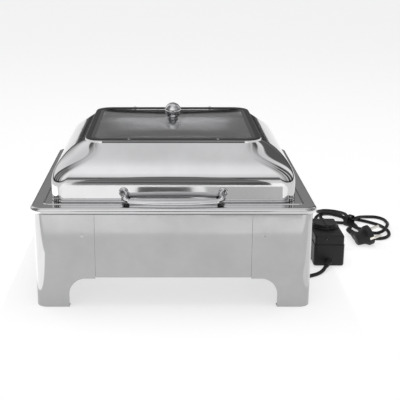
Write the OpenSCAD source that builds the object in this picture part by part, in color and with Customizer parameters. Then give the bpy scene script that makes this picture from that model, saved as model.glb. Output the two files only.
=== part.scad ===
/* [Stand] */
// Width of the stand over the two side sheets
stand_w = 410; // [360:1:560]
// Depth of the stand over the front and rear sheets
stand_d = 381; // [340:1:480]
// Height of the stand's sheets from the table to their top edge
stand_h = 144.5; // [135:0.5:190]
// Thickness of the legs' and aprons' sheet
sheet_t = 1.2; // [0.8:0.1:2]
// Outer radius of the bent corner of a leg
stand_r = 17; // [12:1:24]
// Height of the arched opening between two feet
arch_h = 45; // [35:1:55]
// Width of a foot on each of its two faces
foot_w = 50; // [40:1:60]
// Radius where a foot runs into the arch
arch_r = 25; // [15:1:30]
// Length of a leg's wing on each face, from the stand's corner to the seam
leg_wing = 89.4; // [80:0.1:100]

/* [Water pan] */
// Distance from the stand's sheet out to the rim's outer edge
rim_overhang = 5; // [4:0.5:7]
// Radius of the rolled bead round the rim
bead_r = 5.25; // [4:0.25:6]
// Thickness of the pans' sheet
pan_t = 1; // [0.8:0.1:1.5]
// Depth of the water basin below the shelf
basin_depth = 87; // [75:1:90]
// Distance from the rim's outer edge in to the raised rib
rib_inset = 19.5; // [18:0.5:21]

/* [Food pan] */
// Depth of the food pan
food_depth = 65; // [40:1:70]
// Gap between the food pan's flange and the inside of the lid's skirt
food_gap = 3.5; // [3:0.5:5]
// Width of the food pan's flange
flange_w = 12; // [10:0.5:14]

/* [Lid] */
// Distance from the rim's outer edge in to the lid's skirt
skirt_inset = 28.5; // [27.5:0.5:32]
// Height of the upright skirt
skirt_h = 24; // [22:0.5:30]
// Height of the dome from the skirt to the window
dome_h = 58.5; // [45:0.5:70]
// Distance from the skirt in to the window at the sides
window_inset_x = 48.5; // [40:0.5:60]
// Distance from the skirt in to the window at the front and rear
window_inset_y = 32; // [28:0.5:45]
// Thickness of the lid's sheet
lid_t = 1; // [0.8:0.1:1.5]
// Thickness of the window glass
glass_t = 3; // [2.5:0.5:4]
// Rise of the glass from its edge to its middle
glass_rise = 7; // [3:0.5:10]
// Radius of the ball knob
ball_r = 13; // [11:0.5:16]

/* [Handle] */
// Distance between the handle bar's ends
handle_w = 128; // [100:1:150]
// Forward bow of the handle bar's middle
handle_bow = 6; // [4:0.5:8]
// Distance from the skirt to the middle of the bar at its ends
handle_reach = 16.5; // [15:0.5:18]

/* [Hinges] */
// Distance of each hinge from the middle of the lid
hinge_x = 110; // [90:1:130]
// Radius of the hinge pin
hinge_pin_r = 2; // [1.5:0.1:2.5]
// Radial play of a turning fit
running_gap = 0.06; // [0.02:0.01:0.1]

/* [Heater] */
// Side of the square heater plate
heater_plate_w = 150; // [120:1:170]
// Side of the square heater cover
heater_cover_w = 200; // [190:1:230]
// Height of the heater cover
heater_cover_h = 20.5; // [20:0.5:22]

/* [Controller] */
// Width of the controller
control_w = 51; // [46:1:60]
// Length of the controller
control_l = 99; // [90:1:120]
// Height of the controller's top face
control_h = 55; // [50:1:62]
// Height of the seam between the controller's two shells
control_seam_z = 38.6; // [34:0.1:42]
// Wall thickness of the controller's shells
control_t = 2; // [1.5:0.1:2.5]
// Radius of the temperature dial
dial_r = 23; // [18:0.5:24]
// Height of the temperature dial
dial_h = 7; // [5:0.5:9]

/* [Cords] */
// Radius of both cords
cord_r = 3.15; // [2.8:0.05:3.5]
// Radius of the plug's round body
plug_r = 18; // [17:0.5:18.5]

/* [Hidden] */
$fn = 48;

// Half sizes are written [half width, half depth].
stand_half = [stand_w / 2, stand_d / 2];
stand_in = stand_half - [sheet_t, sheet_t];
rim_half = stand_half + [rim_overhang, rim_overhang];
rim_corner_r = 20;
bead_z = stand_h + 0.5 + bead_r;
shelf_z = bead_z + bead_r;                      // top face of the shelf
shelf_under = shelf_z - pan_t;
apron_lift = 2;                                 // the apron ends this much above the arch
lap_w = 30;                                     // an apron's lap behind a leg
frame_t = 1.2;
frame_drop = 22;
frame_top = stand_h - 0.5;
hem_w = 10;
rib_half = rim_half - [rib_inset, rib_inset];
rib_w = 2.2;
rib_h = 1.2;
skirt_half = rim_half - [skirt_inset, skirt_inset];
skirt_r = 22;
lid_z = shelf_z + 0.5;
skirt_top = lid_z + skirt_h;
food_half = skirt_half - [lid_t + food_gap, lid_t + food_gap];
food_r = 24;
food_wall_half = food_half - [flange_w, flange_w];
basin_half = food_wall_half + [5.5, 5.5];
basin_r = 34;
basin_bottom = shelf_z - basin_depth;           // underside of the basin
hem_t = 2;
hem_h = 4;

// Dome of the lid: its rings run from the skirt to the window on one curve.
dome_steps = 10;
dome_turn = 59;
dome_in_power = 1.95;
dome_up_power = 0.88;
dome_corner_swell = 24;
window_half = skirt_half - [window_inset_x, window_inset_y];
window_r = 28;
window_z = skirt_top + dome_h;
flange_w_top = 12;
flange_half = window_half - [flange_w_top, flange_w_top];
flange_r = window_r - flange_w_top + 2;
strip_t = 0.8;
strip_h = 3.4;
gasket_half = window_half - [strip_t, strip_t];
gasket_w = 8.5;
gasket_h = glass_t + 2;
glass_edge_z = window_z + 1;
glass_in = 4.4;                                 // the glass edge sits this deep in the gasket
glass_half = gasket_half - [glass_in, glass_in];
glass_r = window_r - strip_t - glass_in;
glass_flat = 12;                                // flat middle of the glass for the knob
glass_top = glass_edge_z + glass_t + glass_rise;
glass_steps = 8;
glass_seat = 0.055;                             // share of the glass that is flat at its edge
window_screw_x = 66;
window_screw_in = 2.4;
collar_h = 1.8;
ball_z = glass_top + collar_h + ball_r * 0.85;
stud_r = 3;

bar_h = 8;
bar_d = 11;
bar_z = lid_z + 6.2;
bar_end_y = -(skirt_half[1] + handle_reach);
bar_chord = handle_w / 2;
bar_arc_r = (pow(bar_chord, 2) + pow(handle_bow, 2)) / (2 * handle_bow);
bar_arc_half = asin(bar_chord / bar_arc_r);
pad_x = bar_chord + 9;
pad_z = lid_z + 16;
pad_r = 7;
handle_screw_r = 2;
bumper_gap = 0.1;

pin_y = skirt_half[1] + 16;
pin_z = shelf_z + 10.5;
knuckle_r = 4;
hinge_half = 22;
knuckle_half = 7.7;
leaf_t = 1.5;
side_gap = 0.3;
leaf_screw_r = 1.6;
leaf_screw_x = 15;
frame_screw_y = pin_y + 4.4;
frame_nut_r = 3.1;
// The riser stands inside the bead's curl and inside the nuts of the hinge screws.
frame_riser_in = max(2 * bead_r + 0.9, rim_half[1] - frame_screw_y + frame_nut_r + 0.2);
frame_riser_half = rim_half - [frame_riser_in, frame_riser_in];
lid_screw_z = lid_z + 11;

heater_plate_t = 6;
tube_r = 3.25;
tube_bend_r = heater_plate_w / 3;
tube_z = basin_bottom - heater_plate_t - tube_r;
tube_leg = 55;
cover_bottom = basin_bottom - heater_cover_h;
cover_t = 1;
cover_half = heater_cover_w / 2;
cover_stud_at = cover_half - 10;
cover_stud_r = 2;
gland_z = basin_bottom - 11;
gland_r = 5.5;

control_x = stand_half[0] + 57.5;
control_front = -22;
control_foot_h = 1.5;
control_r = 5;
control_ledge = 1;                              // the upper shell is set in by this much
control_mid_y = control_front + control_l / 2;
dial_x = control_x;
dial_y = control_front + 52;
dial_shaft_r = 3;
boss_r = 4;
boss_in = [8, 9];
relief_z = 9;
relief_l = 22;
relief_turn = -22;

// The cords' routes, chosen by hand. [x, y, z]
heater_route = [[127, 0, 57], [136, -1, 54], [144, -4, 47], [149, -9, 37], [153, -16, 26],
    [156, -25, 16], [159, -36, 8], [163, -48, 4], [170, -60, 3.2], [180, -69, 3.2],
    [192, -75, 3.2], [205, -77, 3.2], [218, -74, 3.2], [230, -68, 3.2], [240, -60, 3.4],
    [248, -51, 5], [254, -42.4, 9]];
mains_start_route = [[259, 99, 9], [260, 112, 7], [262, 128, 4], [264, 146, 3.2], [267, 166, 3.2],
    [271, 188, 3.2], [277, 210, 3.2], [286, 230, 4], [298, 246, 6]];
mains_end_route = [[345, 190, 9], [340, 181, 9], [334.5, 170, 9.5], [330, 157, 10.5], [327, 143, 11]];
bundle_h = 24;
bundle_left = [[298, 232], [293, 262], [301, 284], [315, 294], [328, 288], [340, 262], [348, 232],
    [350, 212], [326, 200]];
bundle_right = [[332, 196], [337, 178], [340, 164], [352, 150], [368, 114], [388, 110], [404, 128],
    [414, 158], [419, 196], [418, 232], [408, 256], [392, 258], [374, 244], [358, 220]];
bundle_neck = [341, 204];
bundle_neck_turn = -50;
bundle_neck_w = 20;
bundle_neck_l = 40;
bundle_neck_h = 16;
tie_t = 2;
tie_w = 9;
plug_face = [358, 96, 18.4];
plug_tilt = 18;
plug_yaw = 12;
plug_front_l = 9;
plug_back_l = 21;
plug_back_r = 9.5;
plug_arm_l = 46;
plug_arm_x = -22;
pin_r = 2.4;
pin_l = 19;
pin_pitch = 19;

// ---------------------------------------------------------------- helpers

module rounded(half, r) {
    square([2 * half[0] - 2 * r, 2 * half[1]], center = true);
    square([2 * half[0], 2 * half[1] - 2 * r], center = true);
    for (sx = [-1, 1], sy = [-1, 1])
        translate([sx * (half[0] - r), sy * (half[1] - r)]) circle(r = r);
}

module band(outer, outer_r, wall, z0, z1) {
    translate([0, 0, z0]) linear_extrude(z1 - z0) difference() {
        rounded(outer, outer_r);
        rounded(outer - [wall, wall], max(outer_r - wall, 1));
    }
}

module sheet_ring(outer, outer_r, inner, inner_r, z0, z1) {
    translate([0, 0, z0]) linear_extrude(z1 - z0) difference() {
        rounded(outer, outer_r);
        rounded(inner, inner_r);
    }
}

// A 2-D profile swept round a rounded rectangle. The profile's x is measured outwards from the
// corner radius, and its y is height.
module swept_rim(half, r) {
    for (side = [0, 1], s = [-1, 1]) {
        run = 2 * (half[1 - side] - r);
        rotate([0, 0, side * 90 + (s < 0 ? 180 : 0)])
            translate([half[side] - r, run / 2, 0]) rotate([90, 0, 0]) linear_extrude(run) children();
    }
    for (k = [0:3]) {
        sx = (k == 0 || k == 3) ? 1 : -1;
        sy = k < 2 ? 1 : -1;
        translate([sx * (half[0] - r), sy * (half[1] - r), 0])
            rotate([0, 0, 90 * k]) rotate_extrude(angle = 90) children();
    }
}

function ring_points(half, r, z, n = 8) = [for (k = [0:3], i = [0:n])
    let (sx = (k == 0 || k == 3) ? 1 : -1, sy = k < 2 ? 1 : -1, a = 90 * k + 90 * i / n)
    [sx * (half[0] - r) + r * cos(a), sy * (half[1] - r) + r * sin(a), z]];

// Skin between rings of equal length. A loop joins the last ring to the first; else both ends close.
module ring_skin(rings, loop) {
    n = len(rings[0]);
    m = len(rings);
    points = [for (ring = rings) for (p = ring) p];
    walls = [for (j = [0:m - (loop ? 1 : 2)], i = [0:n - 1])
        let (a = j * n + i, b = j * n + (i + 1) % n, c = ((j + 1) % m) * n + (i + 1) % n,
             d = ((j + 1) % m) * n + i)
        each [[a, c, b], [a, d, c]]];
    ends = loop ? [] : [[for (i = [0:n - 1]) i], [for (i = [n - 1:-1:0]) (m - 1) * n + i]];
    polyhedron(points = points, faces = concat(walls, ends), convexity = 6);
}

function unit(v) = v / norm(v);

module cord_tube(route, r, sides = 10) {
    last = len(route) - 1;
    rings = [for (i = [0:last])
        let (tangent = unit(route[min(i + 1, last)] - route[max(i - 1, 0)]),
             side = unit(cross(tangent, [0, 0, 1])), up = cross(side, tangent))
        [for (k = [0:sides - 1]) route[i] + r * (cos(360 * k / sides) * side
            + sin(360 * k / sides) * up)]];
    ring_skin(rings, false);
}

module across_x(x0, x1, y, z, r) {
    translate([x0, y, z]) rotate([0, 90, 0]) cylinder(r = r, h = x1 - x0);
}

module across_y(x, y0, y1, z, r) {
    translate([x, y0, z]) rotate([-90, 0, 0]) cylinder(r = r, h = y1 - y0);
}

module block(x0, x1, y0, y1, z0, z1) {
    translate([x0, y0, z0]) cube([x1 - x0, y1 - y0, z1 - z0]);
}

// ---------------------------------------------------------------- stand

module arch_outline(reach) {
    square([reach - arch_r, arch_h]);
    square([reach, arch_h - arch_r]);
    translate([reach - arch_r, arch_h - arch_r]) circle(r = arch_r);
}

// The front right leg stands where x is positive and y is negative.
module leg() {
    seam = stand_half - [leg_wing, leg_wing];
    difference() {
        union() {
            linear_extrude(stand_h) intersection() {
                difference() {
                    rounded(stand_half, stand_r);
                    rounded(stand_in, stand_r - sheet_t);
                }
                translate([seam[0], -stand_half[1]]) square([leg_wing, leg_wing]);
            }
            linear_extrude(sheet_t) intersection() {
                difference() {
                    rounded(stand_in, stand_r - sheet_t);
                    rounded(stand_in - [hem_w, hem_w], stand_r - sheet_t);
                }
                translate([stand_half[0] - foot_w, -stand_half[1]]) square([foot_w, foot_w]);
            }
        }
        translate([0, -stand_half[1] + stand_r, 0]) rotate([90, 0, 0])
            linear_extrude(stand_r + 1) arch_outline(stand_half[0] - foot_w);
        translate([stand_half[0] - stand_r, 0, 0]) rotate([90, 0, 90])
            linear_extrude(stand_r + 1) mirror([1, 0]) arch_outline(stand_half[1] - foot_w);
    }
}

module stand_leg(mx, my) {
    color([0.72, 0.73, 0.74]) mirror([mx, 0, 0]) mirror([0, my, 0]) leg();
}

// An apron along x, its outer face at y = -half_depth.
module apron(half_w, half_depth) {
    seam = half_w - leg_wing;
    bottom = arch_h + apron_lift;
    color([0.75, 0.76, 0.77]) {
        block(-seam, seam, -half_depth, -half_depth + sheet_t, bottom, stand_h);
        for (s = [-1, 1]) {
            x0 = s > 0 ? seam - hem_w : -seam - lap_w;
            block(x0, x0 + hem_w + lap_w, -half_depth + sheet_t, -half_depth + 2 * sheet_t,
                bottom + 1, frame_top - frame_drop - 1);
        }
        block(-seam + hem_w, seam - hem_w, -half_depth + sheet_t, -half_depth + 2.4 * sheet_t,
            bottom, bottom + 2.5);
    }
}

module pan_frame() {
    color([0.6, 0.61, 0.62]) {
        band(stand_in, stand_r - sheet_t, frame_t, frame_top - frame_drop, frame_top);
        sheet_ring(stand_in, stand_r - sheet_t, frame_riser_half - [frame_t, frame_t], 6,
            frame_top - frame_t, frame_top);
        sheet_ring(frame_riser_half, 7, frame_riser_half - [frame_t, frame_t], 6,
            frame_top - frame_t, shelf_under);
    }
}

module water_pan() {
    color([0.78, 0.79, 0.8]) difference() {
        union() {
            translate([0, 0, bead_z]) swept_rim(rim_half, rim_corner_r)
                translate([rim_corner_r - bead_r, 0]) difference() {
                    circle(r = bead_r);
                    circle(r = bead_r - pan_t);
                    translate([-bead_r - 1, -bead_r * 0.55]) square([bead_r + 1, bead_r * 1.55 - pan_t]);
                }
            sheet_ring(rim_half - [bead_r, bead_r], rim_corner_r - bead_r, basin_half, basin_r,
                shelf_under, shelf_z);
            band(basin_half + [pan_t, pan_t], basin_r + pan_t, pan_t, basin_bottom, shelf_z);
            translate([0, 0, basin_bottom]) linear_extrude(pan_t)
                rounded(basin_half + [pan_t, pan_t], basin_r + pan_t);
            sheet_ring(rib_half + [rib_w / 2, rib_w / 2], 9, rib_half - [rib_w / 2, rib_w / 2], 7,
                shelf_under, shelf_z + rib_h);
        }
        for (h = [-1, 1], s = [-1, 1])
            translate([h * hinge_x + s * leaf_screw_x, frame_screw_y, shelf_under - 1])
                cylinder(r = leaf_screw_r, h = pan_t + 2);
    }
}

module food_pan() {
    bottom = shelf_z - food_depth;
    color([0.82, 0.83, 0.84]) {
        sheet_ring(food_half, food_r, food_wall_half - [pan_t, pan_t], food_r - 4,
            shelf_z, shelf_z + pan_t);
        band(food_wall_half, food_r - 3, pan_t, bottom, shelf_z + pan_t);
        translate([0, 0, bottom]) linear_extrude(pan_t) rounded(food_wall_half, food_r - 3);
    }
}

// ---------------------------------------------------------------- heater

module heater_plate() {
    half = heater_plate_w / 2;
    color([0.7, 0.71, 0.72]) translate([0, 0, basin_bottom - heater_plate_t])
        linear_extrude(heater_plate_t) rounded([half, half], 12);
}

module heating_tube() {
    color([0.45, 0.44, 0.42]) {
        for (s = [-1, 1]) across_y(s * tube_bend_r, -tube_leg, 0, tube_z, tube_r);
        translate([0, 0, tube_z]) rotate_extrude(angle = 180)
            translate([tube_bend_r, 0]) circle(r = tube_r);
        for (s = [-1, 1]) across_y(s * tube_bend_r, -tube_leg - 10, -tube_leg, tube_z, 1.5);
    }
}

module heater_clamp() {
    half = heater_plate_w / 2 + 8;
    under = tube_z - tube_r;
    y = -30;
    color([0.66, 0.67, 0.68]) {
        block(-half, half, y, y + 20, under - 1.5, under);
        for (s = [-1, 1]) {
            x0 = s > 0 ? half - 1.5 : -half;
            block(x0, x0 + 1.5, y, y + 20, under, basin_bottom);
        }
    }
}

module thermal_cutout() {
    color([0.85, 0.84, 0.8]) translate([0, 14, basin_bottom - heater_plate_t - 6])
        cylinder(r = 8, h = 6);
}

module terminal_block() {
    color([0.9, 0.9, 0.86]) difference() {
        block(62, 88, 28, 48, cover_bottom + cover_t, cover_bottom + cover_t + 11);
        for (x = [68, 75, 82])
            translate([x, 38, cover_bottom + cover_t + 4]) cylinder(r = 2, h = 10);
    }
}

module heater_cover() {
    color([0.64, 0.65, 0.66]) difference() {
        union() {
            band([cover_half, cover_half], 14, cover_t, cover_bottom, basin_bottom);
            translate([0, 0, cover_bottom]) linear_extrude(cover_t)
                rounded([cover_half, cover_half], 14);
        }
        across_x(cover_half - 3, cover_half + 3, 0, gland_z, gland_r);
        for (sx = [-1, 1], sy = [-1, 1])
            translate([sx * cover_stud_at, sy * cover_stud_at, cover_bottom - 1])
                cylinder(r = cover_stud_r + 0.2, h = cover_t + 2);
    }
}

module cover_studs() {
    color([0.7, 0.7, 0.7]) for (sx = [-1, 1], sy = [-1, 1])
        translate([sx * cover_stud_at, sy * cover_stud_at, cover_bottom - 5])
            cylinder(r = cover_stud_r, h = heater_cover_h + 5);
}

module cover_nuts() {
    color([0.68, 0.68, 0.68]) for (sx = [-1, 1], sy = [-1, 1])
        translate([sx * cover_stud_at, sy * cover_stud_at, cover_bottom - 3.2]) difference() {
            cylinder(r = 4.04, h = 3.2, $fn = 6);
            translate([0, 0, -1]) cylinder(r = cover_stud_r, h = 6);
        }
}

module heater_gland() {
    x = cover_half;
    color([0.1, 0.1, 0.1]) difference() {
        union() {
            across_x(x - 6, x, 0, gland_z, gland_r);
            across_x(x - 6, x - 3, 0, gland_z, gland_r + 2.4);
            across_x(x, x + 3, 0, gland_z, gland_r + 2.4);
            translate([x + 3, 0, gland_z]) rotate([0, 90, 0])
                cylinder(r1 = gland_r + 1, r2 = cord_r + 0.9, h = 24);
        }
        across_x(x - 7, x + 1, 0, gland_z, cord_r);
    }
}

// ---------------------------------------------------------------- hinges

module at_hinges() {
    for (s = [-1, 1]) translate([s * hinge_x, 0, 0]) children();
}

module hinge_frame_leaves() {
    color([0.7, 0.71, 0.72]) at_hinges() difference() {
        union() {
            block(-hinge_half, hinge_half, pin_y - 4.5, frame_screw_y + 4.5, shelf_z, shelf_z + leaf_t);
            for (s = [-1, 1]) {
                x0 = s > 0 ? knuckle_half + side_gap : -hinge_half;
                x1 = s > 0 ? hinge_half : -knuckle_half - side_gap;
                block(x0, x1, pin_y - 1.2, pin_y + 1.2, shelf_z, pin_z - knuckle_r + 1);
                across_x(x0, x1, pin_y, pin_z, knuckle_r);
            }
        }
        across_x(-hinge_half - 1, hinge_half + 1, pin_y, pin_z, hinge_pin_r);
        for (s = [-1, 1]) translate([s * leaf_screw_x, frame_screw_y, shelf_z - 1])
            cylinder(r = leaf_screw_r, h = 4);
    }
}

module hinge_pins() {
    color([0.6, 0.6, 0.62]) at_hinges() {
        across_x(-hinge_half, hinge_half, pin_y, pin_z, hinge_pin_r);
        for (s = [-1, 1]) across_x(s > 0 ? hinge_half : -hinge_half - 1.2,
            s > 0 ? hinge_half + 1.2 : -hinge_half, pin_y, pin_z, hinge_pin_r + 1);
    }
}

module hinge_frame_screws() {
    color([0.66, 0.66, 0.68]) at_hinges() for (s = [-1, 1])
        translate([s * leaf_screw_x, frame_screw_y, shelf_under - 4]) {
            cylinder(r = leaf_screw_r, h = 4 + pan_t + leaf_t);
            translate([0, 0, 4 + pan_t + leaf_t]) cylinder(r = 3, h = 1.8);
            difference() {
                translate([0, 0, 1.4]) cylinder(r = frame_nut_r, h = 2.6, $fn = 6);
                cylinder(r = leaf_screw_r, h = 5);
            }
        }
}

module hinge_lid_leaves() {
    color([0.7, 0.71, 0.72]) at_hinges() difference() {
        union() {
            block(-20, 20, skirt_half[1], skirt_half[1] + leaf_t, lid_z + 3, skirt_top - 2);
            block(-knuckle_half, knuckle_half, skirt_half[1] + leaf_t, pin_y, pin_z - 2.5, pin_z + 2.5);
            across_x(-knuckle_half, knuckle_half, pin_y, pin_z, knuckle_r);
        }
        across_x(-knuckle_half - 1, knuckle_half + 1, pin_y, pin_z, hinge_pin_r + running_gap);
        for (s = [-1, 1])
            across_y(s * leaf_screw_x, skirt_half[1] - 1, skirt_half[1] + 4, lid_screw_z, leaf_screw_r);
    }
}

module hinge_lid_screws() {
    color([0.66, 0.66, 0.68]) at_hinges() for (s = [-1, 1]) {
        across_y(s * leaf_screw_x, skirt_half[1] - lid_t - 3, skirt_half[1] + leaf_t,
            lid_screw_z, leaf_screw_r);
        across_y(s * leaf_screw_x, skirt_half[1] + leaf_t, skirt_half[1] + leaf_t + 1.8,
            lid_screw_z, 3);
        across_y(s * leaf_screw_x, skirt_half[1] - lid_t - 2.6, skirt_half[1] - lid_t,
            lid_screw_z, 3.2);
    }
}

// ---------------------------------------------------------------- lid

function dome_in(t) = (1 - pow(cos(dome_turn * t), dome_in_power))
    / (1 - pow(cos(dome_turn), dome_in_power));
function dome_up(t) = pow(sin(dome_turn * t) / sin(dome_turn), dome_up_power);

// One ring of the lid. skin is 0 for the outside and the sheet's thickness for the inside.
function dome_ring(t, skin) =
    let (inward = dome_in(t), half = skirt_half - inward * [window_inset_x, window_inset_y],
         r = skirt_r + (window_r - skirt_r) * inward + dome_corner_swell * sin(180 * inward))
    ring_points(half - [skin, skin], r - skin, skirt_top + dome_h * dome_up(t) - skin * sin(90 * t));

module lid_shell() {
    outside = concat([ring_points(skirt_half, skirt_r, lid_z)],
        [for (k = [0:dome_steps]) dome_ring(k / dome_steps, 0)],
        [ring_points(flange_half, flange_r, window_z)]);
    inside = concat([ring_points(flange_half, flange_r, window_z - lid_t)],
        [for (k = [dome_steps:-1:0]) dome_ring(k / dome_steps, lid_t)],
        [ring_points(skirt_half - [lid_t, lid_t], skirt_r - lid_t, lid_z)]);
    color([0.8, 0.81, 0.82]) difference() {
        ring_skin(concat(outside, inside), true);
        for (s = [-1, 1]) {
            across_y(s * pad_x, -skirt_half[1] - 2, -skirt_half[1] + 3, pad_z, handle_screw_r);
            for (h = [-1, 1]) across_y(h * hinge_x + s * leaf_screw_x, skirt_half[1] - 3,
                skirt_half[1] + 2, lid_screw_z, leaf_screw_r);
            for (f = [-1, 1]) translate([s * window_screw_x,
                f * (gasket_half[1] - window_screw_in), window_z - 3]) cylinder(r = 1.2, h = 5);
        }
    }
}

module lid_hem() {
    outer = lid_t;
    inner = lid_t + hem_t;
    color([0.74, 0.75, 0.76]) ring_skin([
        ring_points(skirt_half - [outer, outer], skirt_r - outer, lid_z),
        ring_points(skirt_half - [outer, outer], skirt_r - outer, lid_z + hem_h),
        ring_points(skirt_half - [inner, inner], skirt_r - inner, lid_z + hem_h),
        ring_points(skirt_half - [inner, inner], skirt_r - inner, lid_z)], true);
}

module window_gasket() {
    inner = gasket_half - [gasket_w, gasket_w];
    color([0.07, 0.07, 0.075]) difference() {
        sheet_ring(gasket_half, window_r - strip_t, inner, window_r - strip_t - gasket_w,
            window_z, window_z + gasket_h);
        translate([0, 0, glass_edge_z]) linear_extrude(glass_t) rounded(glass_half, glass_r);
        for (sx = [-1, 1], sy = [-1, 1])
            translate([sx * window_screw_x, sy * (gasket_half[1] - window_screw_in), window_z - 1])
                cylinder(r = 1.2, h = gasket_h + 2);
    }
}

module window_strip() {
    color([0.85, 0.86, 0.87])
        band(window_half, window_r, strip_t, window_z, window_z + strip_h);
}

// One ring of the glass, from its edge (0) to the flat middle (1). The rim that sits in the groove
// is flat, and the dome starts where the groove ends.
function glass_ring(share, z) =
    let (half = glass_half * (1 - share) + [glass_flat, glass_flat] * share,
         full = min(half[0], half[1]),
         r = min(glass_r + 30 * sin(180 * share), full) * (1 - share) + glass_flat * share,
         t = max(0, (share - glass_seat) / (1 - glass_seat)))
    ring_points(half, min(r, full - 0.01), z + glass_rise * (1 - pow(1 - t, 2)));

module window_glass() {
    shares = concat([0], [for (k = [0:glass_steps]) glass_seat + (1 - glass_seat) * k / glass_steps]);
    last = len(shares) - 1;
    color([0.6, 0.62, 0.64, 0.5]) difference() {
        ring_skin(concat([for (k = [last:-1:0]) glass_ring(shares[k], glass_edge_z)],
            [for (k = [0:last]) glass_ring(shares[k], glass_edge_z + glass_t)]), false);
        translate([0, 0, glass_edge_z - 1])
            cylinder(r = stud_r + 0.5, h = glass_rise + glass_t + 4);
    }
}

module window_screws() {
    color([0.8, 0.8, 0.82]) for (sx = [-1, 1], sy = [-1, 1])
        translate([sx * window_screw_x, sy * (gasket_half[1] - window_screw_in), 0]) {
            translate([0, 0, window_z - lid_t - 3]) cylinder(r = 1.2, h = lid_t + 3 + gasket_h);
            translate([0, 0, window_z + gasket_h]) cylinder(r = 2.2, h = 1.2);
            translate([0, 0, window_z - lid_t - 2]) cylinder(r = 1.9, h = 2);
        }
}

module ball_knob() {
    color([0.8, 0.81, 0.82]) difference() {
        translate([0, 0, ball_z]) sphere(r = ball_r, $fn = 64);
        translate([0, 0, glass_top + collar_h - 10]) cylinder(r = ball_r + 2, h = 10);
        translate([0, 0, glass_top]) cylinder(r = stud_r, h = 10);
    }
}

module knob_collar() {
    color([0.75, 0.76, 0.77]) translate([0, 0, glass_top]) difference() {
        cylinder(r = 7.5, h = collar_h);
        translate([0, 0, -1]) cylinder(r = stud_r, h = collar_h + 2);
    }
}

module knob_stud() {
    color([0.68, 0.68, 0.7]) translate([0, 0, glass_top - glass_t - 8])
        cylinder(r = stud_r, h = glass_t + 8 + 10);
}

module knob_washer() {
    color([0.1, 0.1, 0.1]) translate([0, 0, glass_top - glass_t - 1.4]) difference() {
        cylinder(r = 9, h = 1.4);
        translate([0, 0, -1]) cylinder(r = stud_r, h = 4);
    }
}

module knob_nut() {
    color([0.66, 0.66, 0.68]) translate([0, 0, glass_top - glass_t - 1.4 - 5]) difference() {
        cylinder(r = 5.77, h = 5, $fn = 6);
        translate([0, 0, -1]) cylinder(r = stud_r, h = 8);
    }
}

// ---------------------------------------------------------------- handle

// The bar bows forward on an arc, and its ends are cut square to x, where the brackets meet it.
module handle_bar() {
    sweep = bar_arc_half + 2;
    color([0.8, 0.81, 0.82]) intersection() {
        translate([0, bar_end_y + bar_arc_r - handle_bow, bar_z])
            rotate([0, 0, 270 - sweep]) rotate_extrude(angle = 2 * sweep, $fn = 180)
                translate([bar_arc_r, 0]) {
                    square([bar_d - bar_h, bar_h], center = true);
                    for (s = [-1, 1]) translate([s * (bar_d - bar_h) / 2, 0]) circle(d = bar_h);
                }
        block(-bar_chord, bar_chord, bar_end_y - 30, bar_end_y + 30, bar_z - bar_h, bar_z + bar_h);
    }
}

// The bracket on the right. It rises from the bar's end to a pad on the skirt.
module handle_bracket() {
    tip = [bar_chord, bar_end_y, bar_z];
    pad = [pad_x, -skirt_half[1], pad_z];
    knee = [pad_x - 1, -skirt_half[1] - 9, pad_z - 3];
    color([0.78, 0.79, 0.8]) difference() {
        union() {
            across_y(pad[0], pad[1] - 2.5, pad[1], pad[2], pad_r);
            hull() {
                across_y(pad[0], pad[1] - 3, pad[1] - 1.5, pad[2], 5.5, $fn = 32);
                translate(knee) sphere(r = 5, $fn = 24);
            }
            hull() {
                translate(knee) sphere(r = 5, $fn = 24);
                translate(tip + [1, 0, 0]) sphere(r = bar_h / 2 + 0.8, $fn = 24);
            }
        }
        block(tip[0] - 20, tip[0], tip[1] - 20, tip[1] + 12, tip[2] - 20, tip[2] + 20);
        across_y(pad[0], pad[1] - 6, pad[1] + 1, pad[2], handle_screw_r);
        block(tip[0] - 20, tip[0] + 40, tip[1] - 20, tip[1] + 30, tip[2] - 20, tip[2] - bar_h / 2);
    }
}

module handle_screws() {
    color([0.66, 0.66, 0.68]) for (s = [-1, 1]) {
        across_y(s * pad_x, -skirt_half[1] - 6, -skirt_half[1] + lid_t, pad_z, handle_screw_r);
        across_y(s * pad_x, -skirt_half[1] + lid_t, -skirt_half[1] + lid_t + 2.2, pad_z, 3.8);
    }
}

module handle_bumpers() {
    top = bar_z - bar_h / 2;
    color([0.08, 0.08, 0.08]) for (s = [-1, 1])
        translate([s * (bar_chord + 3), bar_end_y, shelf_z + bumper_gap])
            cylinder(r = 3, h = top - shelf_z - bumper_gap);
}

// ---------------------------------------------------------------- controller

module control_outline(inset) {
    translate([control_x, control_mid_y])
        rounded([control_w / 2 - inset, control_l / 2 - inset], max(control_r - inset, 1));
}

module at_bosses() {
    for (sx = [-1, 1], sy = [-1, 1])
        translate([control_x + sx * (control_w / 2 - boss_in[0]),
            control_mid_y + sy * (control_l / 2 - boss_in[1]), 0]) children();
}

module controller_base() {
    color([0.09, 0.09, 0.095]) difference() {
        union() {
            difference() {
                translate([0, 0, control_foot_h]) linear_extrude(control_seam_z - control_foot_h)
                    control_outline(0);
                translate([0, 0, control_foot_h + control_t]) linear_extrude(control_seam_z)
                    control_outline(control_t);
            }
            at_bosses() translate([0, 0, control_foot_h])
                cylinder(r = boss_r, h = control_seam_z - control_foot_h);
        }
        at_bosses() translate([0, 0, control_foot_h - 1]) cylinder(r = 1.5, h = control_seam_z);
        across_y(control_x, control_front - 1, control_front + control_t + 1, relief_z, cord_r + 1.5);
        across_y(control_x - 4, control_front + control_l - control_t - 1,
            control_front + control_l + 1, relief_z, cord_r + 1.5);
    }
}

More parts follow.
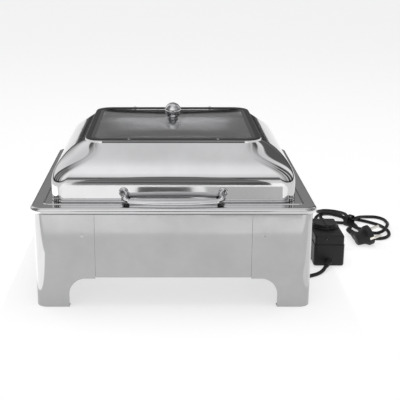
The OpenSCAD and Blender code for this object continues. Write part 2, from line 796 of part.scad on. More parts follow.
module controller_cover() {
    color([0.1, 0.1, 0.105]) difference() {
        union() {
            difference() {
                translate([0, 0, control_seam_z]) linear_extrude(control_h - control_seam_z)
                    control_outline(control_ledge);
                translate([0, 0, control_seam_z - 1])
                    linear_extrude(control_h - control_seam_z - control_t + 1)
                        control_outline(control_ledge + control_t);
            }
            at_bosses() translate([0, 0, control_seam_z])
                cylinder(r = boss_r, h = control_h - control_seam_z - 1);
        }
        at_bosses() translate([0, 0, control_seam_z - 1]) cylinder(r = 1.5, h = 9);
        translate([dial_x, dial_y, control_h - 5]) cylinder(r = dial_shaft_r + 0.6, h = 10);
        across_y(control_x - 5.5, control_front - 1, control_front + 6, 49, 2.5);
    }
}

module controller_feet() {
    color([0.13, 0.13, 0.13]) for (sx = [-1, 1], sy = [-1, 1])
        translate([control_x + sx * (control_w / 2 - 17), control_mid_y + sy * (control_l / 2 - 12), 0])
            cylinder(r = 5, h = control_foot_h);
}

module controller_screws() {
    color([0.6, 0.6, 0.62]) at_bosses() translate([0, 0, control_foot_h])
        cylinder(r = 1.5, h = control_seam_z - control_foot_h + 7);
}

module controller_board() {
    half = [control_w / 2 - 5, control_l / 2 - 15];
    z = control_foot_h + control_t;
    color([0.1, 0.35, 0.15]) translate([control_x, control_mid_y, z]) {
        for (sx = [-1, 1], sy = [-1, 1]) translate([sx * 14, sy * 30, 0]) cylinder(r = 2.5, h = 6);
        translate([-half[0], -half[1], 6]) cube([2 * half[0], 2 * half[1], 1.6]);
    }
}

module thermostat() {
    color([0.55, 0.55, 0.5]) translate([dial_x, dial_y, control_h - control_t - 26]) difference() {
        union() {
            cylinder(r = 14, h = 20);
            translate([0, 0, 20]) cylinder(r = 9, h = 6);
        }
        translate([0, 0, 4]) cylinder(r = dial_shaft_r + running_gap, h = 30);
    }
}

module pilot_lamp() {
    color([0.45, 0.12, 0.08]) across_y(control_x - 5.5, control_front + control_ledge - 0.8,
        control_front + 5, 49, 2.5);
}

// A relief leaves its housing straight and then tapers along the cord.
module relief(turn) {
    rotate([90, 0, 0]) cylinder(r = cord_r + 1.5, h = 2.6);
    translate([0, -2, 0]) rotate([0, 0, turn]) rotate([90, 0, 0])
        cylinder(r1 = cord_r + 2, r2 = cord_r + 0.6, h = relief_l - 2);
    translate([0, 2.5, 0]) rotate([90, 0, 0]) cylinder(r = cord_r + 1.5, h = 3);
}

module relief_heater() {
    color([0.07, 0.07, 0.07]) translate([control_x, control_front, relief_z]) relief(relief_turn);
}

module relief_mains() {
    color([0.07, 0.07, 0.07]) translate([control_x - 4, control_front + control_l, relief_z])
        rotate([0, 0, 180]) relief(0);
}

module control_dial() {
    color([0.08, 0.08, 0.085]) translate([dial_x, dial_y, control_h + side_gap]) difference() {
        union() {
            cylinder(r = dial_r, h = 2);
            translate([0, 0, 2]) cylinder(r = dial_r - 2.5, h = dial_h - 2);
            translate([-2, -dial_r + 4, dial_h - 1]) cube([4, 2 * dial_r - 8, 2]);
        }
        translate([0, 0, -1]) cylinder(r = dial_shaft_r, h = dial_h - 1);
    }
}

module dial_shaft() {
    z0 = control_h - control_t - 21;
    color([0.7, 0.7, 0.7]) translate([dial_x, dial_y, z0])
        cylinder(r = dial_shaft_r, h = control_h + side_gap + dial_h - 2 - z0);
}

// ---------------------------------------------------------------- cords and plug

module heater_cord() {
    color([0.05, 0.05, 0.05]) cord_tube(heater_route, cord_r);
}

module mains_cord_start() {
    color([0.05, 0.05, 0.05]) cord_tube(mains_start_route, cord_r);
}

module mains_cord_end() {
    color([0.05, 0.05, 0.05]) cord_tube(mains_end_route, cord_r);
}

module at_neck() {
    translate([bundle_neck[0], bundle_neck[1], 0]) rotate([0, 0, bundle_neck_turn]) children();
}

module mains_bundle() {
    color([0.06, 0.06, 0.06]) {
        difference() {
            linear_extrude(bundle_h) {
                polygon(bundle_left);
                polygon(bundle_right);
            }
            at_neck() translate([-tie_w / 2 - 3, -40, -1]) cube([tie_w + 6, 80, bundle_h + 2]);
        }
        at_neck() translate([-bundle_neck_l / 2, -bundle_neck_w / 2, tie_t])
            cube([bundle_neck_l, bundle_neck_w, bundle_neck_h]);
    }
}

module bundle_tie() {
    color([0.1, 0.1, 0.1]) at_neck() difference() {
        translate([-tie_w / 2, -bundle_neck_w / 2 - tie_t, 0])
            cube([tie_w, bundle_neck_w + 2 * tie_t, bundle_neck_h + 2 * tie_t]);
        translate([-tie_w, -bundle_neck_w / 2, tie_t]) cube([2 * tie_w, bundle_neck_w, bundle_neck_h]);
    }
}

module at_plug() {
    translate(plug_face) rotate([0, 0, plug_yaw]) rotate([0, -plug_tilt, 0]) children();
}

module plug_body() {
    color([0.07, 0.07, 0.07]) at_plug() {
        rotate([0, -90, 0]) cylinder(r = plug_r, h = plug_front_l);
        translate([-plug_front_l, 0, 0]) rotate([0, -90, 0])
            cylinder(r1 = plug_r, r2 = plug_back_r, h = plug_back_l);
        translate([plug_arm_x, 6, 0]) rotate([-90, 0, 0])
            cylinder(r1 = 8, r2 = cord_r + 1.2, h = plug_arm_l);
    }
}

module plug_pins() {
    color([0.8, 0.8, 0.78]) at_plug() for (s = [-1, 1])
        translate([0, 0, s * pin_pitch / 2]) rotate([0, 90, 0]) cylinder(r = pin_r, h = pin_l);
}

module plug_earth_clips() {
    color([0.8, 0.8, 0.78]) at_plug() for (s = [-1, 1])
        translate([-plug_front_l, s > 0 ? plug_r : -plug_r - 0.6, -2.2])
            cube([plug_front_l, 0.6, 4.4]);
}

stand_leg(1, 0);  // leg_front_left
stand_leg(0, 0);  // leg_front_right
stand_leg(1, 1);  // leg_rear_left
stand_leg(0, 1);  // leg_rear_right
apron(stand_half[0], stand_half[1]);  // apron_front
rotate([0, 0, 180]) apron(stand_half[0], stand_half[1]);  // apron_rear
rotate([0, 0, -90]) apron(stand_half[1], stand_half[0]);  // apron_left
rotate([0, 0, 90]) apron(stand_half[1], stand_half[0]);  // apron_right
pan_frame();
water_pan();
food_pan();
heater_plate();
heating_tube();
heater_clamp();
thermal_cutout();
terminal_block();
heater_cover();
cover_studs();
cover_nuts();
heater_gland();
hinge_frame_leaves();
hinge_pins();
hinge_frame_screws();
lid_shell();
lid_hem();
window_gasket();
window_strip();
window_glass();
window_screws();
ball_knob();
knob_collar();
knob_stud();
knob_washer();
knob_nut();
handle_bar();
mirror([1, 0, 0]) handle_bracket();  // handle_bracket_left
handle_bracket();  // handle_bracket_right
handle_screws();
handle_bumpers();
hinge_lid_leaves();
hinge_lid_screws();
controller_base();
controller_cover();
controller_feet();
controller_screws();
controller_board();
thermostat();
pilot_lamp();
relief_heater();
relief_mains();
control_dial();
dial_shaft();
heater_cord();
mains_cord_start();
mains_bundle();
bundle_tie();
mains_cord_end();
plug_body();
plug_pins();
plug_earth_clips();
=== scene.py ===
# %% [markdown]
# A roll top chafer keeps a pan of food warm over a basin of hot water. Polished sheet makes its
# stand, rim and lid, and a black controller stands beside it on its cords. Each piece below is
# modelled by hand with Blender's own operators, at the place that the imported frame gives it.
# All lengths are written in millimetres and turned into metres where an operator needs them.

# %% Load the frame
import math
import bmesh
import bpy
from mathutils import Matrix, Vector


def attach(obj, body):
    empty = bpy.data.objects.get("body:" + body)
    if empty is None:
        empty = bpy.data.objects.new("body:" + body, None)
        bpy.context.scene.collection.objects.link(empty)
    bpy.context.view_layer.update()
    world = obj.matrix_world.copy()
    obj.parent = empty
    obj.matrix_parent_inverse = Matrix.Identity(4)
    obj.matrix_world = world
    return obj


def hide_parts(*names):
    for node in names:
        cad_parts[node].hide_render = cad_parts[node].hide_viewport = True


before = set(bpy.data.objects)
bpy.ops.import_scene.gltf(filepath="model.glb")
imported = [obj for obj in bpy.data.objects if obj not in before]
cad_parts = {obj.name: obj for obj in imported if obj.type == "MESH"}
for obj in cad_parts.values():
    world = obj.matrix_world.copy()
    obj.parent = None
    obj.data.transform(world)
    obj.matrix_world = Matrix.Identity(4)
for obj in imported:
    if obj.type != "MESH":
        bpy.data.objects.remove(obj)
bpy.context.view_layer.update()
MM = 0.001

# %% [markdown]
# The camera comes first. A product camera stands a little above the lid and looks down at it, and
# a long lens keeps the sides nearly parallel. A small shift frames the controller on the right.

# %% Camera
LOOK_DOWN = 16.39


def set_camera():
    """Camera at the front, looking down"""
    lens = bpy.data.cameras.new("camera")
    lens.lens = 78.66
    lens.sensor_width = 36
    lens.shift_x = 0.08
    lens.clip_end = 30
    camera = bpy.data.objects.new("camera", lens)
    camera.location = (-0.0079, -1.4015, 0.523)
    camera.rotation_euler = (math.radians(90 - LOOK_DOWN), 0, 0)
    bpy.context.scene.collection.objects.link(camera)
    bpy.context.scene.camera = camera
    return camera


camera = set_camera()
print("camera at", [round(v, 3) for v in camera.location])

# %% [markdown]
# Operators act on whatever is selected, so every step starts with nothing selected. These small
# helpers are used all the way down. They drop the selection, pick one piece, open it for editing,
# select its vertices by a test on their place, and print its size.

# %% Selection helpers
def let_go():
    """Leave edit mode, with nothing selected"""
    if bpy.context.object and bpy.context.object.mode == "EDIT":
        bpy.ops.object.mode_set(mode="OBJECT")
    bpy.ops.object.select_all(action="DESELECT")


def pick(piece):
    """Make one piece the only selected one"""
    let_go()
    piece.select_set(True)
    bpy.context.view_layer.objects.active = piece


def open_up(piece):
    """Pick a piece and go into edit mode, with all of it selected"""
    pick(piece)
    bpy.ops.object.mode_set(mode="EDIT")
    bpy.ops.mesh.select_all(action="SELECT")


def choose(piece, test):
    """In edit mode, select the vertices whose place passes the test, in millimetres"""
    bpy.ops.mesh.select_mode(type="VERT")
    bpy.ops.mesh.select_all(action="DESELECT")
    shape = bmesh.from_edit_mesh(piece.data)
    for vertex in shape.verts:
        vertex.select = bool(test(*(vertex.co / MM)))
    shape.select_flush(True)
    bmesh.update_edit_mesh(piece.data)


def say(label, piece):
    """Print a piece's size in metres"""
    print(label, [round(side, 3) for side in piece.dimensions])


let_go()
print("ready to model")

# %% [markdown]
# Both cords are the same round black lead, 6.3 mm thick. The heater's lead drops out of the stand
# and runs to the controller. The mains lead leaves the other end, and its length is tied in a flat
# figure of eight. A Bezier curve with automatic handles passes through every point that was
# chosen, so it bends as smoothly as rubber does, and a bevel gives it its thickness.

# %% Cords
CORD_R = 3.15
heater_points = [(127, 0, 57), (136, -1, 54), (144, -4, 47), (149, -9, 37), (153, -16, 26),
    (156, -25, 16), (159, -36, 8), (163, -48, 4), (170, -60, 3.2), (180, -69, 3.2),
    (192, -75, 3.2), (205, -77, 3.2), (218, -74, 3.2), (230, -68, 3.2), (240, -60, 3.4),
    (248, -51, 5), (254, -42.4, 9)]
lead_points = [(259, 99, 9), (260, 112, 7), (262, 128, 4.2), (264.5, 146, 3.2),
    (267.5, 166, 3.2), (271, 188, 3.2), (275.5, 209, 3.2), (280, 229, 3.2), (286, 248, 3.2),
    (297, 263, 3.2), (312, 267, 3.2), (326, 258, 3.2), (338, 246, 3.2), (353, 235, 3.2),
    (369, 224.5, 3.2), (384, 211, 3.2), (397, 194, 3.2), (404, 172, 3.2), (405, 150, 3.2),
    (399.5, 131, 3.2), (386, 117.5, 3.2), (369, 117, 3.2), (358.5, 131, 3.2), (355, 150, 3.2),
    (352.5, 172, 3.4), (350, 192, 4.6), (346, 208.4, 5.6), (343, 224, 8), (342, 240, 9.8),
    (340, 257, 7.6), (335, 273, 5), (325, 286, 3.4), (310, 290, 3.4), (296.5, 281, 4.8),
    (290.5, 264, 9), (291.5, 246, 14), (299.5, 231, 17), (311, 221, 17.6), (323, 214, 16),
    (333.5, 208.5, 13.6), (344, 207, 12.2), (354, 212, 11.6), (363, 222.5, 10.2),
    (372, 236, 6.6), (386, 246.5, 3.6), (402, 245, 3.4), (413, 232, 3.4), (415.5, 212, 3.6),
    (412.5, 191, 6.4), (407, 173, 9.8), (400.5, 157.5, 9.6), (390, 145, 6.6), (375, 139, 5.8),
    (360, 144.5, 9.8), (351, 157, 8.6), (347, 173, 6), (344.5, 189, 5.2), (341, 204, 5.2),
    (336, 219, 7.4), (330, 237, 9.8), (319.5, 251, 10.4), (303.5, 251.5, 10), (292.5, 239, 7.6),
    (295, 221, 5), (308.5, 211, 4), (323, 206, 4.4), (335.5, 199, 5.2), (338.7, 186, 5.4),
    (338, 173, 6.2), (334.5, 162, 8), (330, 153, 9.8), (326.9, 143, 11)]


def lay_cord(name, points):
    """A round cord through the points, as one smooth open curve"""
    curve = bpy.data.curves.new(name, "CURVE")
    curve.dimensions = "3D"
    curve.bevel_depth = 1.0
    curve.bevel_resolution = 4
    curve.resolution_u = 10
    curve.use_fill_caps = True
    spline = curve.splines.new("BEZIER")
    spline.bezier_points.add(len(points) - 1)
    for knot, point in zip(spline.bezier_points, points):
        knot.co = Vector(point) * MM
        knot.handle_left_type = knot.handle_right_type = "AUTO"
        knot.radius = CORD_R * MM
    piece = bpy.data.objects.new(name, curve)
    bpy.context.scene.collection.objects.link(piece)
    return piece


heater_lead = lay_cord("heater_lead", heater_points)
mains_lead = lay_cord("mains_lead", lead_points)
print("laid", heater_lead.name, "and", mains_lead.name)

# %% [markdown]
# The floor is one large pale sheet that has no edge in view. It isn't part of the chafer.

# %% Floor
let_go()
bpy.ops.mesh.primitive_plane_add(size=40, location=(0, 0, -0.0002))
floor = bpy.context.object
floor.name = "floor"
bpy.ops.object.transform_apply(location=True)
print("floor", [round(v, 1) for v in floor.dimensions])

# %% [markdown]
# Nearly everything on the chafer is a rounded rectangle that changes size as it goes up: the rim,
# the pans, the lid, the gasket and the controller. One outline is a plane whose four corners are
# bevelled, with the face taken away. Outlines are stacked, and neighbours are bridged. That gives
# exact corner radii, which scaling one outline would not.

# %% Outlines and lofts
def start_piece(name):
    """A piece with no points yet, left in edit mode"""
    let_go()
    bpy.ops.mesh.primitive_plane_add(size=0.001)
    piece = bpy.context.object
    piece.name = name
    bpy.ops.object.mode_set(mode="EDIT")
    bpy.ops.mesh.delete(type="VERT")
    bpy.ops.mesh.select_mode(type="VERT")
    return piece


def face_outwards():
    """Turn every face of the open piece outwards, and leave edit mode"""
    bpy.ops.mesh.select_all(action="SELECT")
    bpy.ops.mesh.normals_make_consistent(inside=False)
    bpy.ops.object.mode_set(mode="OBJECT")


def add_outline(half, radius, z, corner):
    """In edit mode, a rounded rectangle of edges, kept in a vertex group of its own"""
    bpy.ops.mesh.select_all(action="DESELECT")
    bpy.ops.mesh.primitive_plane_add(size=2, location=(0, 0, z * MM))
    bpy.ops.transform.resize(value=(half[0] * MM, half[1] * MM, 1), center_override=(0, 0, z * MM))
    bpy.ops.mesh.bevel(offset=radius * MM, segments=corner, affect="VERTICES")
    bpy.ops.object.vertex_group_assign_new()
    bpy.ops.mesh.delete(type="ONLY_FACE")


def take_outlines(piece, *numbers):
    """In edit mode, select the outlines with these numbers"""
    bpy.ops.mesh.select_all(action="DESELECT")
    for number in numbers:
        piece.vertex_groups.active_index = number
        bpy.ops.object.vertex_group_select()


def bridge(piece, number, following):
    """Join two outlines point to point. Both list their points in the same order"""
    mesh = bmesh.from_edit_mesh(piece.data)
    layer = mesh.verts.layers.deform.verify()
    near = [vert for vert in mesh.verts if number in vert[layer]]
    far = [vert for vert in mesh.verts if following in vert[layer]]
    partner = dict(zip(near, far))
    for edge in [edge for edge in mesh.edges if all(vert in partner for vert in edge.verts)]:
        a, b = edge.verts
        mesh.faces.new((a, b, partner[b], partner[a]))
    bmesh.update_edit_mesh(piece.data)


def loft(name, outlines, corner=10, loop=False, caps=(), up=None):
    """Bridge a stack of outlines. Each is (half sizes, corner radius, height), in millimetres"""
    piece = start_piece(name)
    for half, radius, z in outlines:
        add_outline(half, radius, z, corner)
    count = len(outlines)
    for number in range(count if loop else count - 1):
        bridge(piece, number, (number + 1) % count)
    for number in caps:
        take_outlines(piece, number % count)
        bpy.ops.mesh.edge_face_add()
    face_outwards()
    if up is not None:
        steepest = max(piece.data.polygons, key=lambda face: up(*(face.center / MM)) * face.area)
        if steepest.normal.z < 0:
            piece.data.flip_normals()
    piece.vertex_groups.clear()
    return piece


def inset(half, by):
    """Half sizes made smaller by the same amount on every side"""
    return (half[0] - by, half[1] - by)


print("loft helper ready")

# %% [markdown]
# Finishing is the same for most pieces. Sheet gets its thickness from Solidify, hard edges get a
# small Bevel so that they catch light, and the shading is smooth except across sharp angles.

# %% Finishing helpers
def apply_modifier(piece, kind, **settings):
    """Add one modifier, set it and apply it"""
    pick(piece)
    modifier = piece.modifiers.new(kind.lower(), kind)
    for setting, value in settings.items():
        setattr(modifier, setting, value)
    bpy.ops.object.modifier_apply(modifier=modifier.name)
    return piece


def give_thickness(piece, thickness, even=False):
    """Turn a skin into sheet, behind its face"""
    return apply_modifier(piece, "SOLIDIFY", thickness=thickness * MM, offset=-1,
        use_even_offset=even)


def soften(piece, width, segments=2, angle=35):
    """Round the hard edges"""
    return apply_modifier(piece, "BEVEL", width=width * MM, segments=segments,
        limit_method="ANGLE", angle_limit=math.radians(angle), miter_outer="MITER_ARC")


def shade(piece, angle=30):
    """Smooth shading that breaks at sharp edges"""
    open_up(piece)
    face_outwards()
    if piece.data.has_custom_normals:
        bpy.ops.mesh.customdata_custom_splitnormals_clear()
    bpy.ops.object.shade_smooth_by_angle(angle=math.radians(angle))
    return apply_modifier(piece, "WEIGHTED_NORMAL", keep_sharp=True, weight=100)


def settle(piece, body, slot_name, *nodes):
    """Ride on a body, take a finish slot and stand for these nodes"""
    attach(piece, body)
    if nodes:
        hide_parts(*nodes)
    made[piece.name] = slot_name
    return piece


def finish(piece, angle, body, slot_name, *nodes):
    """Shade a piece, then settle it"""
    return settle(shade(piece, angle), body, slot_name, *nodes)


made = {}
print("finishing helpers ready")

# %% [markdown]
# The rim of the water pan ends in a rolled bead, as pan rims do, so that no raw edge can cut a
# hand. Behind it lies a flat shelf with one raised rib, and then the wall turns down into the
# basin. The whole section is one run of outlines from the curl under the bead to the basin floor.

# %% Water pan
RIM_HALF = (210, 195.5)
BEAD_R, BEAD_Z = 5.25, 150.25
SHELF_Z = 155.5
BASIN_HALF = (170.5, 156)


def rim_section():
    """Outlines of the bead, shelf, rib and basin, from outside to inside"""
    rows = []
    for turn in range(-125, 91, 15):
        away = BEAD_R - BEAD_R * math.cos(math.radians(turn))
        rows.append((inset(RIM_HALF, away), 20 - away, BEAD_Z + BEAD_R * math.sin(math.radians(turn))))
    for away, rise in ((6.2, 0), (17.9, 0), (18.5, 0.3), (19, 0.95), (19.5, 1.2), (20, 0.95),
            (20.5, 0.3), (21.1, 0)):
        rows.append((inset(RIM_HALF, away), 16 - away * 0.38, SHELF_Z + rise))
    for away, drop in ((-3.4, 0), (-2.2, 0.25), (-0.9, 1), (-0.2, 2.2), (0, 4), (0, 78), (0.8, 82),
            (3, 84.8), (7, 86)):
        rows.append((inset(BASIN_HALF, away), 34 - away, SHELF_Z - drop))
    return rows


water_pan = loft("water_pan_sheet", rim_section(), corner=12, caps=(-1,),
    up=lambda x, y, z: z > 155.3)
give_thickness(water_pan, 1)
finish(water_pan, 40, "stand", "polished_pan", "water_pan")
say("water pan", water_pan)

# %% [markdown]
# The food pan hangs in the basin by its flange. Its inner surface is what shows when the lid is
# up, so that surface is drawn, and the sheet is added behind it.

# %% Food pan
FOOD_HALF = (177, 162.5)
food_rows = [(FOOD_HALF, 24, 155.7), (FOOD_HALF, 24, 156.3), (inset(FOOD_HALF, 0.4), 23.6, 156.5),
    (inset(FOOD_HALF, 10), 21, 156.5), (inset(FOOD_HALF, 11.8), 20.4, 156.1),
    (inset(FOOD_HALF, 12.8), 20, 154.6), (inset(FOOD_HALF, 13), 20, 152),
    (inset(FOOD_HALF, 13), 20, 100), (inset(FOOD_HALF, 14), 19.6, 95.5),
    (inset(FOOD_HALF, 17), 18, 92.4), (inset(FOOD_HALF, 21), 16, 91.5)]
food_pan = loft("food_pan_sheet", food_rows, corner=10, caps=(-1,), up=lambda x, y, z: z > 156.4)
give_thickness(food_pan, 0.9)
finish(food_pan, 40, "stand", "plain_sheet", "food_pan")
say("food pan", food_pan)

# %% [markdown]
# A leg is one sheet bent round the stand's corner, with a foot left at its bottom. It starts as a
# line of edges in plan that is drawn up to its height. The corner edge is bevelled into the bend,
# with a narrow flat strip kept on each side of it so that the flat faces stay flat in the light.
# Rounded blocks are then cut out for the arches, and the other three legs are mirrored copies.

# %% Legs
STAND_HALF = (205, 190.5)
STAND_H = 144.5
SHEET = 1.2
SEAM = (115.6, 101.1)
FOOT, ARCH_H, ARCH_R = 50, 45, 25


def block(name, low, high):
    """A plain block between two corners, as a start"""
    let_go()
    middle = [(a + b) / 2 * MM for a, b in zip(low, high)]
    bpy.ops.mesh.primitive_cube_add(size=1, location=middle)
    piece = bpy.context.object
    piece.name = name
    piece.scale = [abs(b - a) * MM for a, b in zip(low, high)]
    bpy.ops.object.transform_apply(location=True, rotation=True, scale=True)
    return piece


def cut_away(piece, tool):
    """Take one piece out of another, and throw the cutter away"""
    pick(piece)
    modifier = piece.modifiers.new("cut", "BOOLEAN")
    modifier.operation = "DIFFERENCE"
    modifier.solver = "EXACT"
    modifier.object = tool
    bpy.ops.object.modifier_apply(modifier=modifier.name)
    bpy.data.objects.remove(tool)
    return piece


def arch_cutter(low, high, along):
    """A block with its two upper corners rounded, to cut an arch"""
    tool = block("arch_cutter", low, high)
    pick(tool)
    bpy.ops.object.mode_set(mode="EDIT")
    bpy.ops.mesh.select_mode(type="EDGE")
    bpy.ops.mesh.select_all(action="DESELECT")
    shape = bmesh.from_edit_mesh(tool.data)
    for edge in shape.edges:
        a, b = (v.co / MM for v in edge.verts)
        edge.select = min(a.z, b.z) > high[2] - 1 and abs(a[along] - b[along]) > 1
    bmesh.update_edit_mesh(tool.data)
    bpy.ops.mesh.bevel(offset=ARCH_R * MM, segments=14, affect="EDGES")
    bpy.ops.object.mode_set(mode="OBJECT")
    return tool


def draw_line(name, points):
    """A piece that is a line of edges through the points, left in edit mode with all selected"""
    let_go()
    bpy.ops.mesh.primitive_plane_add(size=0.001)
    piece = bpy.context.object
    piece.name = name
    bpy.ops.object.mode_set(mode="EDIT")
    bpy.ops.mesh.select_mode(type="VERT")
    bpy.ops.mesh.merge(type="CENTER")
    bpy.ops.transform.translate(value=Vector(points[0]) * MM)
    for before, after in zip(points, points[1:]):
        step = (Vector(after) - Vector(before)) * MM
        bpy.ops.mesh.extrude_vertices_move(TRANSFORM_OT_translate={"value": step})
    bpy.ops.mesh.select_all(action="SELECT")
    return piece


def make_leg():
    """The front right leg"""
    x, y = STAND_HALF
    near = 18.5
    leg = draw_line("leg_sheet", [(SEAM[0], -y, 0), (x - near, -y, 0), (x, -y, 0),
        (x, -y + near, 0), (x, -SEAM[1], 0)])
    bpy.ops.mesh.extrude_region_move(TRANSFORM_OT_translate={"value": (0, 0, STAND_H * MM)})
    choose(leg, lambda a, b, c: a > x - 0.1 and b < -y + 0.1)
    bpy.ops.mesh.bevel(offset=17 * MM, segments=14, affect="EDGES")
    face_outwards()
    front = min(leg.data.polygons, key=lambda face: face.center.y)
    if front.normal.y > 0:
        leg.data.flip_normals()
    give_thickness(leg, SHEET, even=True)
    cut_away(leg, arch_cutter((0, -y - 9, -9), (x - FOOT, -y + 9, ARCH_H), 1))
    cut_away(leg, arch_cutter((x - 9, -y + FOOT, -9), (x + 9, 0, ARCH_H), 0))
    soften(leg, 0.3, 2, 60)
    return leg


leg = make_leg()
print("leg", [round(v, 3) for v in leg.dimensions], "faces", len(leg.data.polygons))

# %% [markdown]
# Each foot is turned in at the bottom into a narrow hem, which stiffens it and gives it something
# to stand on. The hem is a flat ring of sheet, and two cuts leave only the part under this foot.

# %% Foot hems and the other legs
def saw(place, away, **side):
    """In edit mode, cut everything at a plane and close the cut"""
    bpy.ops.mesh.select_all(action="SELECT")
    bpy.ops.mesh.bisect(plane_co=Vector(place) * MM, plane_no=away, use_fill=True, **side)


def make_hem():
    """The hem under the front right foot"""
    inner = inset(STAND_HALF, SHEET)
    hem = loft("hem", [(inner, 15.8, 0.2), (inset(inner, 10), 6, 0.2), (inset(inner, 10), 6, 1.2),
        (inner, 15.8, 1.2)], loop=True)
    open_up(hem)
    saw((STAND_HALF[0] - FOOT, 0, 0), (1, 0, 0), clear_inner=True)
    saw((0, FOOT - STAND_HALF[1], 0), (0, 1, 0), clear_outer=True)
    bpy.ops.object.mode_set(mode="OBJECT")
    return hem


def join(name, pieces):
    """Make one piece out of several"""
    let_go()
    for piece in pieces:
        piece.select_set(True)
    bpy.context.view_layer.objects.active = pieces[0]
    bpy.ops.object.join()
    pieces[0].name = name
    return pieces[0]


def copy_to(piece, name, matrix):
    """A copy with its own mesh, moved by a matrix in its vertices"""
    twin = piece.copy()
    twin.data = piece.data.copy()
    twin.name = name
    bpy.context.scene.collection.objects.link(twin)
    twin.data.transform(matrix)
    if matrix.determinant() < 0:
        twin.data.flip_normals()
    return twin


leg = shade(join("leg_front_right_sheet", [leg, make_hem()]), 40)
mirrored = {"leg_front_left": (-1, 1), "leg_rear_right": (1, -1), "leg_rear_left": (-1, -1)}
for node, (mx, my) in mirrored.items():
    twin = copy_to(leg, node + "_sheet", Matrix.Diagonal((mx, my, 1, 1)))
    finish(twin, 40, "stand", "polished_sheet", node)
settle(leg, "stand", "polished_sheet", "leg_front_right")
print("four legs")

# %% [markdown]
# An apron closes the gap between two legs. It is a flat plate with its lower edge rolled inwards,
# and a strip at each end laps behind the leg, where spot welds hold it. The lower face is extruded
# back and then up to roll the edge, and the strips are separate plates joined to it.

# %% Aprons
def make_apron(name, half_width, depth):
    """An apron along x, with its face at y = -depth"""
    seam = half_width - 89.4
    plate = block(name, (-seam + 0.25, -depth, ARCH_H + 2), (seam - 0.25, -depth + SHEET, STAND_H))
    pick(plate)
    bpy.ops.object.mode_set(mode="EDIT")
    choose(plate, lambda a, b, c: b > -depth + SHEET - 0.1 and c < ARCH_H + 2.1)
    bpy.ops.mesh.extrude_region_move(TRANSFORM_OT_translate={"value": (0, 1.4 * MM, 0)})
    bpy.ops.mesh.extrude_region_move(TRANSFORM_OT_translate={"value": (0, 0, 2.4 * MM)})
    bpy.ops.object.mode_set(mode="OBJECT")
    soften(plate, 0.35, 3, 50)
    laps = [block("lap", (s * (seam - 8) if s > 0 else -seam - 26, -depth + SHEET, ARCH_H + 3),
        (s * (seam + 26) if s > 0 else -seam + 8, -depth + 2 * SHEET, 120.5)) for s in (-1, 1)]
    for lap in laps:
        soften(lap, 0.3, 2)
    return shade(join(name, [plate] + laps), 40)


for node, half_width, depth, quarter in (("apron_front", 205, 190.5, 0), ("apron_rear", 205, 190.5, 2),
        ("apron_right", 190.5, 205, 1), ("apron_left", 190.5, 205, 3)):
    apron = make_apron(node + "_plate", half_width, depth)
    apron.data.transform(Matrix.Rotation(math.radians(90 * quarter), 4, "Z"))
    settle(apron, "stand", "polished_sheet", node)
print("four aprons")

# %% [markdown]
# The lid is one pressed sheet: an upright skirt, a dome that turns in over it, and a flat opening
# for the window. The dome leaves the skirt upright, turns quickly and then flattens, so its rings
# follow a quarter-wave curve with a power on it, and its corners swell before they tighten again
# at the window. Many rings keep the reflections smooth.

# %% Lid shell
SKIRT_HALF = (181.5, 167)
LID_Z, SKIRT_TOP, WINDOW_Z = 156, 180, 238.5
WINDOW_HALF = (133, 135)
SKIRT_R, WINDOW_R, SWELL = 22, 28, 24
TURN = math.radians(59)


def dome_row(share):
    """The outline of the dome at a share of its curve, from the skirt (0) to the window (1)"""
    inward = (1 - math.cos(TURN * share) ** 1.95) / (1 - math.cos(TURN) ** 1.95)
    lift = (math.sin(TURN * share) / math.sin(TURN)) ** 0.88
    half = [skirt + (window - skirt) * inward for skirt, window in zip(SKIRT_HALF, WINDOW_HALF)]
    radius = SKIRT_R + (WINDOW_R - SKIRT_R) * inward + SWELL * math.sin(math.pi * inward)
    return (half, radius, SKIRT_TOP + (WINDOW_Z - SKIRT_TOP) * lift)


lid_rows = [(inset(SKIRT_HALF, 0.35), SKIRT_R - 0.4, LID_Z)]
lid_rows += [(SKIRT_HALF, SKIRT_R, z) for z in (LID_Z + 0.5, LID_Z + 5, SKIRT_TOP - 3)]
lid_rows += [dome_row(step / 26) for step in range(27)]
lid_rows += [(inset(WINDOW_HALF, 0.9), 27.1, WINDOW_Z), (inset(WINDOW_HALF, 12), 18, WINDOW_Z)]
lid_shell = loft("lid_sheet", lid_rows, corner=14, up=lambda x, y, z: z > 200 and abs(x) < 60)
give_thickness(lid_shell, 1)
finish(lid_shell, 38, "lid", "polished_lid", "lid_shell")
say("lid", lid_shell)

# %% [markdown]
# A soft black gasket holds the glass, and a thin bright strip runs round its outside. Both are
# closed rings with rounded edges, so each loft joins its last outline to its first.

# %% Gasket and strip
GASKET_HALF, GASKET_R = inset(WINDOW_HALF, 0.8), WINDOW_R - 0.8


def ring_rows(half, radius, section):
    """Outlines for a ring whose section is given as (inset, height) points"""
    return [(inset(half, away), radius - away, z) for away, z in section]


gasket = loft("gasket_ring", ring_rows(GASKET_HALF, GASKET_R, [(0, 238.5), (0, 242.3), (0.35, 243.1),
    (1.1, 243.5), (3.6, 243.5), (6.6, 243.3), (7.9, 242.7), (8.5, 241.9), (8.5, 238.7)]),
    corner=12, loop=True)
finish(gasket, 50, "lid", "black_gasket", "window_gasket")
strip = loft("bright_strip", ring_rows(WINDOW_HALF, WINDOW_R, [(0, 238.5), (0, 241.5), (0.2, 241.85),
    (0.5, 241.9), (0.8, 241.7), (0.8, 238.5)]), corner=12, loop=True)
finish(strip, 50, "lid", "polished_lid", "window_strip")
print("gasket and strip")

# %% [markdown]
# The window is a pane that rises in a low dome. It has a real thickness, because glass bends light
# only between two surfaces.

# %% Window glass
GLASS_IN, GLASS_RISE, FLAT_EDGE, FLAT_MIDDLE = 4.4, 7, 0.055, 12


